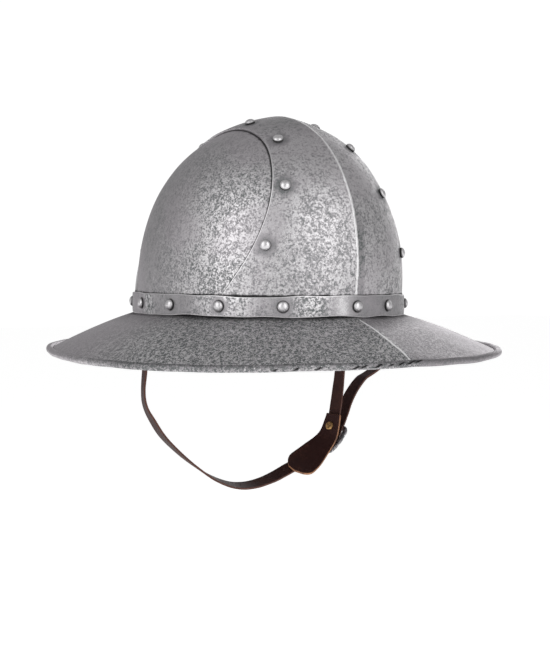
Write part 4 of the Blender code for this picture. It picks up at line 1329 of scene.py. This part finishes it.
def strap_line():
    """The strap's line between its anchors, as length, place, inward and width directions."""
    brim, rivet, strap = hat().brim, hat().rivet, hat().strap
    turn = np.array(BAND_TABLE[STRAP_RIVET].left)
    inset = collar_inset(turn) + 0.5 * brim.wall + strap.anchor_gap + 0.5 * strap.wall
    anchor, wall = foot_points(turn, -inset, 0.0)
    lean = math.degrees(math.atan2(wall[1], wall[0]))
    root = brim.root + brim.wall + rivet.fit
    ends = [(anchor[0], anchor[1], z, lean) for z in (strap.top, -rivet.band_drop, -root)]
    rows = [(-x, y, z, roll) for x, y, z, roll in ends]
    for row in ROUTE_TABLE:
        share = float(smooth_step(row.down, 0.0, strap.plane_share))
        back = anchor[1] + (strap.plane_back - anchor[1]) * share
        rows.append((row.across * strap.half_span, back, -rivet.band_drop - row.down * strap.drop, row.roll))
    path = smooth_path(rows + ends[::-1], 12)
    places = path[:, :3]
    slope = np.gradient(places, axis=0)
    slope /= np.linalg.norm(slope, axis=1)[:, None]
    inward = np.stack([-slope[:, 2], 0.0 * slope[:, 0], slope[:, 0]], axis=1)
    inward /= np.linalg.norm(inward, axis=1)[:, None]
    front = np.array([0.0, -1.0, 0.0])
    roll = np.radians(path[:, 3])[:, None]
    turned_in = inward * np.cos(roll) + front * np.sin(roll)
    width = front * np.cos(roll) - inward * np.sin(roll)
    run = np.concatenate([[0.0], np.cumsum(np.linalg.norm(np.diff(places, axis=0), axis=1))])
    return run, places, turned_in, width


class StrapSpace:
    """Turns a place along, across and out from the strap's line into a point in space."""

    def __init__(self):
        self.run, self.places, self.inward, self.width = strap_line()
        self.total = float(self.run[-1])

    def row(self, values, below):
        """Rows of values, read at lengths below the left anchor."""
        along = self.total - np.asarray(below, float)
        return np.stack([np.interp(along, self.run, values[:, k]) for k in range(3)], axis=-1)

    def points(self, below, across, out):
        """Points at lengths below the left anchor, across to the front, and out from the head."""
        below, across, out = np.broadcast_arrays(below, across, out)
        inward = self.row(self.inward, below)
        width = self.row(self.width, below)
        return self.row(self.places, below) + width * across[..., None] - inward * out[..., None]


def lower_bar():
    """Place of the buckle's lower bar."""
    return hat().buckle.upper_bar + hat().buckle.length


def centre_bar():
    """Place of the buckle's centre bar."""
    return hat().buckle.upper_bar + 0.5 * hat().buckle.length


def bar_out(below):
    """How far out from the strap's line the buckle's frame lies."""
    buckle = hat().buckle
    share = np.maximum(0.0, (lower_bar() - np.asarray(below, float)) / buckle.length)
    return 0.5 * hat().strap.wall + hat().rivet.fit + buckle.wire + buckle.tilt * share ** buckle.bow


def wrap(below, radius, start, end, steps=8):
    """Places round one of the buckle's bars, between two angles from the downward direction."""
    turns = np.radians(np.linspace(start, end, steps + 1))
    out = float(bar_out(below))
    return [(below + radius * math.cos(turn), out + radius * math.sin(turn)) for turn in turns]


def crossing_angle(start, start_radius, end, end_radius):
    """Angle at which a strap leaves the inner side of one bar for the outer side of the next."""
    along = start - end
    rise = float(bar_out(end) - bar_out(start))
    spread = math.asin((start_radius + end_radius) / math.hypot(along, rise))
    return math.degrees(math.atan2(rise, along) + spread)


def short_track():
    """Places down the short strap, round the centre bar and back up to the end of its fold."""
    strap, buckle, fit = hat().strap, hat().buckle, hat().rivet.fit
    centre = centre_bar()
    fold = buckle.wire + fit + 0.5 * strap.wall
    apart = strap.wall + strap.leg_gap
    join = strap.pad_rivet_place + hat().rivet.clench_radius
    track = [(below, 0.0) for below in np.linspace(0.0, strap.pad_top, 60)] + [(join, 0.0)]
    fall = math.degrees(math.atan2(float(bar_out(centre)) + fold - apart, centre - join))
    track += wrap(centre, fold, -96.0, 90.0 + fall, 14)
    return np.array(track + [(join, apart), (strap.pad_rivet_place - strap.short_end_rise, apart)])


def long_track(total):
    """Places along the long strap: the loop, over the centre bar, under the upper bar, the tail."""
    strap, buckle, fit = hat().strap, hat().buckle, hat().rivet.fit
    centre, lower, upper = centre_bar(), lower_bar(), buckle.upper_bar
    under = buckle.wire + fit + 0.5 * strap.wall
    over = under + strap.wall + fit
    rise = crossing_angle(lower, under, centre, over)
    fall = crossing_angle(centre, over, upper, under)
    climb = float(bar_out(upper) - bar_out(centre))
    drop = 2.0 * math.degrees(math.atan2(climb, centre - upper))
    track = [(below, 0.0) for below in np.linspace(total, lower + under, 230)]
    track += wrap(lower, under, -90.0, -90.0 - rise)
    track += wrap(centre, over, 90.0 - rise, 90.0 + fall - drop)
    track += wrap(upper, under, -90.0 + fall - drop, -104.0)
    tail = [(upper - row.up * strap.tail_run, row.out * strap.tail_reach) for row in TAIL_TABLE]
    return np.array(track[:-1] + [tuple(row) for row in smooth_path([track[-1]] + tail, 6)])


def ribbon(name, space, track, wall, half_width, materials):
    """A strap of leather laid along a track, with rounded cut edges."""
    across = half_width * np.array([-1.0, -0.9, -0.6, -0.3, 0.0, 0.3, 0.6, 0.9, 1.0])[None, :]
    below, out = track[:, :1], track[:, 1:]
    run = np.concatenate([[0.0], np.cumsum(np.linalg.norm(np.diff(track, axis=0), axis=1))])[:, None]
    uneven = 1.0 + hat().strap.ripple * np.sin(310.0 * run) * np.sin(97.0 * run + 1.0)
    points = space.points(below, across * uneven, out)
    piece = laid_sheet(name, points, {"edge": MM * (half_width - np.abs(across))}, outward=False)
    dress(piece, materials)
    thicken(piece, wall, 0.0, rim=1)
    round_edges(piece, hat().strap.rounding)
    return piece


class HAT_OT_straps(bpy.types.Operator):
    """Make the two parts of the chin strap"""

    bl_idname = "kettle_hat.straps"
    bl_label = "Chin Strap"

    def execute(self, context):
        strap = hat().strap
        space = StrapSpace()
        leather, cut = strap_leather(), cut_leather("strap_edge", hat().finish.strap_edge)
        half = 0.5 * strap.width
        piece = ribbon("leather_long", space, long_track(space.total), strap.wall, half, (leather, cut))
        self.punch(piece, space)
        hand_in(piece, (), ["chin_strap_long"], 35.0)
        piece = ribbon("leather_short", space, short_track(), strap.wall, half, (leather, cut))
        hand_in(piece, (), ["chin_strap_short"], 35.0)
        return {"FINISHED"}

    def punch(self, piece, space):
        """Punch the row of holes below the buckle."""
        strap = hat().strap
        for index in range(strap.holes):
            below = lower_bar() + strap.first_hole + strap.hole_pitch * index
            point = space.points(below, 0.0, 0.0)
            deselect()
            bpy.ops.mesh.primitive_cylinder_add(vertices=16, radius=strap.hole_radius, depth=4.0 * strap.wall)
            punch = bpy.context.object
            punch.data.transform(frame_at(point, space.row(space.inward, below)))
            apply_modifier(piece, "BOOLEAN", operation="DIFFERENCE", solver="EXACT", object=punch)
            bpy.data.objects.remove(punch)


class HAT_OT_pad(bpy.types.Operator):
    """Make the leather pad behind the buckle and its brass rivet"""

    bl_idname = "kettle_hat.pad"
    bl_label = "Buckle Pad"

    def execute(self, context):
        strap, fit = hat().strap, hat().rivet.fit
        space = StrapSpace()
        out = -0.5 * strap.wall - strap.pad_gap - 0.5 * strap.pad_wall
        rows = smooth_path(PAD_TABLE, 6)
        below = strap.pad_top + rows[:, :1] * strap.pad_length
        front, back = rows[:, 1:2] * strap.pad_half_width, rows[:, 2:] * strap.pad_half_width
        share = np.linspace(0.0, 1.0, 19)[None, :]
        across = front - (front + back) * share
        rim = np.minimum(front - across, across + back)
        ends = np.minimum(below - strap.pad_top, strap.pad_top + strap.pad_length - below)
        values = {"edge": MM * np.minimum(rim, ends)}
        piece = laid_sheet("leather_pad", space.points(below, across, out), values, outward=False)
        dress(piece, (strap_leather(), cut_leather("pad_edge", hat().finish.cut)))
        thicken(piece, strap.pad_wall, 0.0, rim=1)
        round_edges(piece, strap.pad_rounding)
        hand_in(piece, (), ["buckle_pad"], 35.0)

        inner = -0.5 * strap.wall - strap.pad_gap - strap.pad_wall - fit
        point = space.points(strap.pad_rivet_place, 0.0, inner)
        inward = space.row(space.inward, strap.pad_rivet_place)
        depth = 2.0 * fit + strap.pad_wall + strap.pad_gap + 2.0 * strap.wall + strap.leg_gap
        wide, high, shank = strap.pad_rivet_radius, strap.pad_rivet_height, strap.pad_shank_radius
        profile = [
            (0.3 * wide, high), (0.62 * wide, 0.96 * high), (0.85 * wide, 0.8 * high),
            (0.96 * wide, 0.45 * high), (wide, 0.1 * high), (0.97 * wide, -0.4 * fit),
            (shank, -0.5 * fit), (shank, -depth),
            (0.7 * wide, -depth), (0.66 * wide, -depth - 0.4 * high), (0.3 * wide, -depth - 0.7 * high),
        ]
        rivet = turned_piece("brass_rivet", profile, 32)
        rivet.data.transform(frame_at(point, inward))
        hand_in(rivet, [rivet_brass()], ["pad_rivet"])
        return {"FINISHED"}


def bent_wire(name, points, radii, closed):
    """A bent bar through the points, from a curve with a round section."""
    deselect()
    bpy.ops.curve.primitive_nurbs_path_add()
    piece = bpy.context.object
    piece.name = piece.data.name = name
    curve = piece.data
    curve.splines.clear()
    curve.bevel_depth = 1.0
    curve.bevel_resolution = 5
    curve.use_fill_caps = True
    spline = curve.splines.new("POLY")
    spline.points.add(len(points) - 1)
    spline.use_cyclic_u = closed
    for slot, point, radius in zip(spline.points, points, radii):
        slot.co = (*point, 1.0)
        slot.radius = radius
    bpy.ops.object.convert(target="MESH")
    edit_all(bpy.ops.mesh.remove_doubles, threshold=WIRE_WELD)
    edit_all(bpy.ops.mesh.normals_make_consistent, inside=False)
    return bpy.context.object


def flatten_ring(piece, line, outward, wide):
    """Widen a wire's section along its own plane, across the outward directions."""
    line, outward = np.array([tuple(p) for p in line]), np.array([tuple(p) for p in outward])
    places = numbers_of(piece.data.vertices, "co", 3)
    close = np.argmin(np.linalg.norm(places[:, None] - line[None], axis=2), axis=1)
    offset = places - line[close]
    normal = outward[close]
    along = np.sum(offset * normal, axis=1)[:, None] * normal
    piece.data.vertices.foreach_set("co", (line[close] + along + wide * (offset - along)).ravel())
    piece.data.update()


class HAT_OT_buckle(bpy.types.Operator):
    """Make the buckle's frame and its prong"""

    bl_idname = "kettle_hat.buckle"
    bl_label = "Buckle"

    def execute(self, context):
        buckle, fit = hat().buckle, hat().rivet.fit
        space = StrapSpace()
        finish = buckle_steel()
        centre = centre_bar()
        points, outward, radii = [], [], []
        corners = ((1.0, 1.0, 0.0), (-1.0, 1.0, 90.0), (-1.0, -1.0, 180.0), (1.0, -1.0, 270.0))
        rounds = []
        for side, end, first in corners:
            for turn in np.radians(np.linspace(first, first + 90.0, 9)):
                across = side * (buckle.half_width - buckle.corner) + buckle.corner * math.cos(turn)
                along = end * (0.5 * buckle.length - buckle.corner) + buckle.corner * math.sin(turn)
                rounds.append((across, along))
        rounds.append(rounds[0])
        for start, stop in zip(rounds, rounds[1:]):
            steps = max(1, round(math.dist(start, stop) / FRAME_STEP))
            for step in range(steps):
                across = start[0] + (stop[0] - start[0]) * step / steps
                below = centre + start[1] + (stop[1] - start[1]) * step / steps
                points.append(space.points(below, across, bar_out(below)))
                outward.append(-space.row(space.inward, below))
                radii.append(buckle.wire * (1.0 + 0.05 * math.sin(0.9 * len(radii))))
        piece = bent_wire("buckle_ring", points, radii, True)
        flatten_ring(piece, points, outward, buckle.flat)
        ends = np.linspace(-buckle.half_width, buckle.half_width, 9)
        places = [space.points(centre, across, bar_out(centre)) for across in ends]
        bar = bent_wire("buckle_bar", places, [buckle.wire] * len(places), False)
        apply_modifier(piece, "BOOLEAN", operation="UNION", solver="EXACT", object=bar)
        bpy.data.objects.remove(bar)
        hand_in(piece, [finish], ["buckle_frame"])

        radius = buckle.wire + fit + buckle.prong
        rest = float(bar_out(lower_bar())) + radius
        line = wrap(centre, radius, -35.0, -275.0, 18)
        line += [tuple(row) for row in np.linspace(line[-1], (lower_bar(), rest), 8)[1:]]
        line.append((lower_bar() + 0.5 * buckle.overhang, rest))
        line.append((lower_bar() + buckle.overhang, rest - buckle.dip))
        radii = [buckle.prong] * (len(line) - 2) + [0.9 * buckle.prong, 0.6 * buckle.prong]
        places = [space.points(below, 0.0, out) for below, out in line]
        prong = bent_wire("buckle_tongue", places, radii, False)
        hand_in(prong, [finish], ["buckle_prong"])
        return {"FINISHED"}


def direction(turn, lift):
    """The direction at an angle from the front and a height over the floor, in radians."""
    return Vector((math.sin(turn) * math.cos(lift), -math.cos(turn) * math.cos(lift), math.sin(lift)))


class HAT_OT_studio(bpy.types.Operator):
    """Make the floor, the lights and the camera"""

    bl_idname = "kettle_hat.studio"
    bl_label = "Studio"

    def execute(self, context):
        studio = hat().studio
        self.room(studio)
        deselect()
        bpy.ops.mesh.primitive_plane_add(size=studio.floor_size, location=(0.0, 0.0, studio.floor_drop))
        floor = bpy.context.object
        floor.name = floor.data.name = "studio_floor"
        paper = Finish("studio_paper", 0.0, 0.9)
        paper.send("Base Color", studio.paper)
        paper.send("Emission Color", WHITE)
        paper.send("Emission Strength", studio.glow)
        floor.data.materials.append(paper.material)
        for row in LIGHT_TABLE:
            self.light(studio, row)
        self.camera(studio)
        bpy.context.scene.view_settings.view_transform = "Standard"
        if bpy.context.scene.camera is None:
            raise RuntimeError("The studio has no camera")
        return {"FINISHED"}

    def light(self, studio, row):
        """A soft light of the table, which the camera doesn't see."""
        back = direction(math.radians(row.turn), math.radians(row.lift))
        place = Vector((0.0, 0.0, studio.aim_height)) + back * row.away
        deselect()
        rotation = back.to_track_quat("Z", "Y").to_euler()
        bpy.ops.object.light_add(type="AREA", location=place, rotation=rotation)
        light = bpy.context.object
        light.name = light.data.name = row.name
        light.data.shape = "RECTANGLE"
        light.data.size = row.wide
        light.data.size_y = row.high
        light.data.energy = row.share * studio.key
        light.visible_camera = False

    def room(self, studio):
        """A white room, dimmer than it looks."""
        world = bpy.data.worlds.new("studio_room")
        bpy.context.scene.world = world
        world.use_nodes = True
        tree = world.node_tree
        seen, dim = tree.nodes["Background"], tree.nodes.new("ShaderNodeBackground")
        for node, strength in ((seen, studio.backdrop), (dim, studio.fill)):
            node.inputs["Color"].default_value = (*WHITE, 1.0)
            node.inputs["Strength"].default_value = strength
        rays = tree.nodes.new("ShaderNodeLightPath")
        mix = tree.nodes.new("ShaderNodeMixShader")
        tree.links.new(rays.outputs["Is Camera Ray"], mix.inputs[0])
        tree.links.new(dim.outputs[0], mix.inputs[1])
        tree.links.new(seen.outputs[0], mix.inputs[2])
        tree.links.new(mix.outputs[0], tree.nodes["World Output"].inputs["Surface"])

    def camera(self, studio):
        """The camera, where the photograph was taken from."""
        place = direction(studio.azimuth, studio.elevation) * studio.distance
        back = direction(studio.look_azimuth, studio.look_elevation)
        right = Vector((math.cos(studio.look_azimuth), math.sin(studio.look_azimuth), 0.0))
        up = back.cross(right)
        turn = studio.roll
        across = right * math.cos(turn) + up * math.sin(turn)
        above = up * math.cos(turn) - right * math.sin(turn)
        bpy.ops.object.camera_add(location=place)
        camera = bpy.context.object
        camera.name = camera.data.name = "photo_camera"
        camera.matrix_world = Matrix.Translation(place) @ Matrix((across, above, back)).transposed().to_4x4()
        camera.data.sensor_width = studio.sensor
        camera.data.lens = studio.lens
        bpy.context.scene.camera = camera


class HAT_PT_panel(bpy.types.Panel):
    """Lists the makers of the hat's pieces"""

    bl_label = "Kettle Hat"
    bl_space_type = "VIEW_3D"
    bl_region_type = "UI"
    bl_category = "Kettle Hat"

    def draw(self, context):
        for maker in MAKERS:
            self.layout.operator(maker.bl_idname)


GROUPS = (
    SkullSizes, BandSizes, BrimSizes, RivetSizes, StrapSizes, BuckleSizes, Finishes, StudioSizes, KettleHat)
MAKERS = (
    HAT_OT_side_plates, HAT_OT_overlay, HAT_OT_band, HAT_OT_brim, HAT_OT_rivets, HAT_OT_straps,
    HAT_OT_pad, HAT_OT_buckle, HAT_OT_studio)


def register():
    """Register the sizes, the makers and the panel."""
    for kind in GROUPS + MAKERS + (HAT_PT_panel,):
        bpy.utils.register_class(kind)
    bpy.types.Scene.kettle_hat = PointerProperty(type=KettleHat)


def unregister():
    """Take the panel, the makers and the sizes away again."""
    del bpy.types.Scene.kettle_hat
    for kind in reversed(GROUPS + MAKERS + (HAT_PT_panel,)):
        bpy.utils.unregister_class(kind)


def main():
    """Make the hat."""
    register()
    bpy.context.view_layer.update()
    for maker in MAKERS:
        group, name = maker.bl_idname.split(".")
        getattr(getattr(bpy.ops, group), name)()


if __name__ == "__main__":
    main()
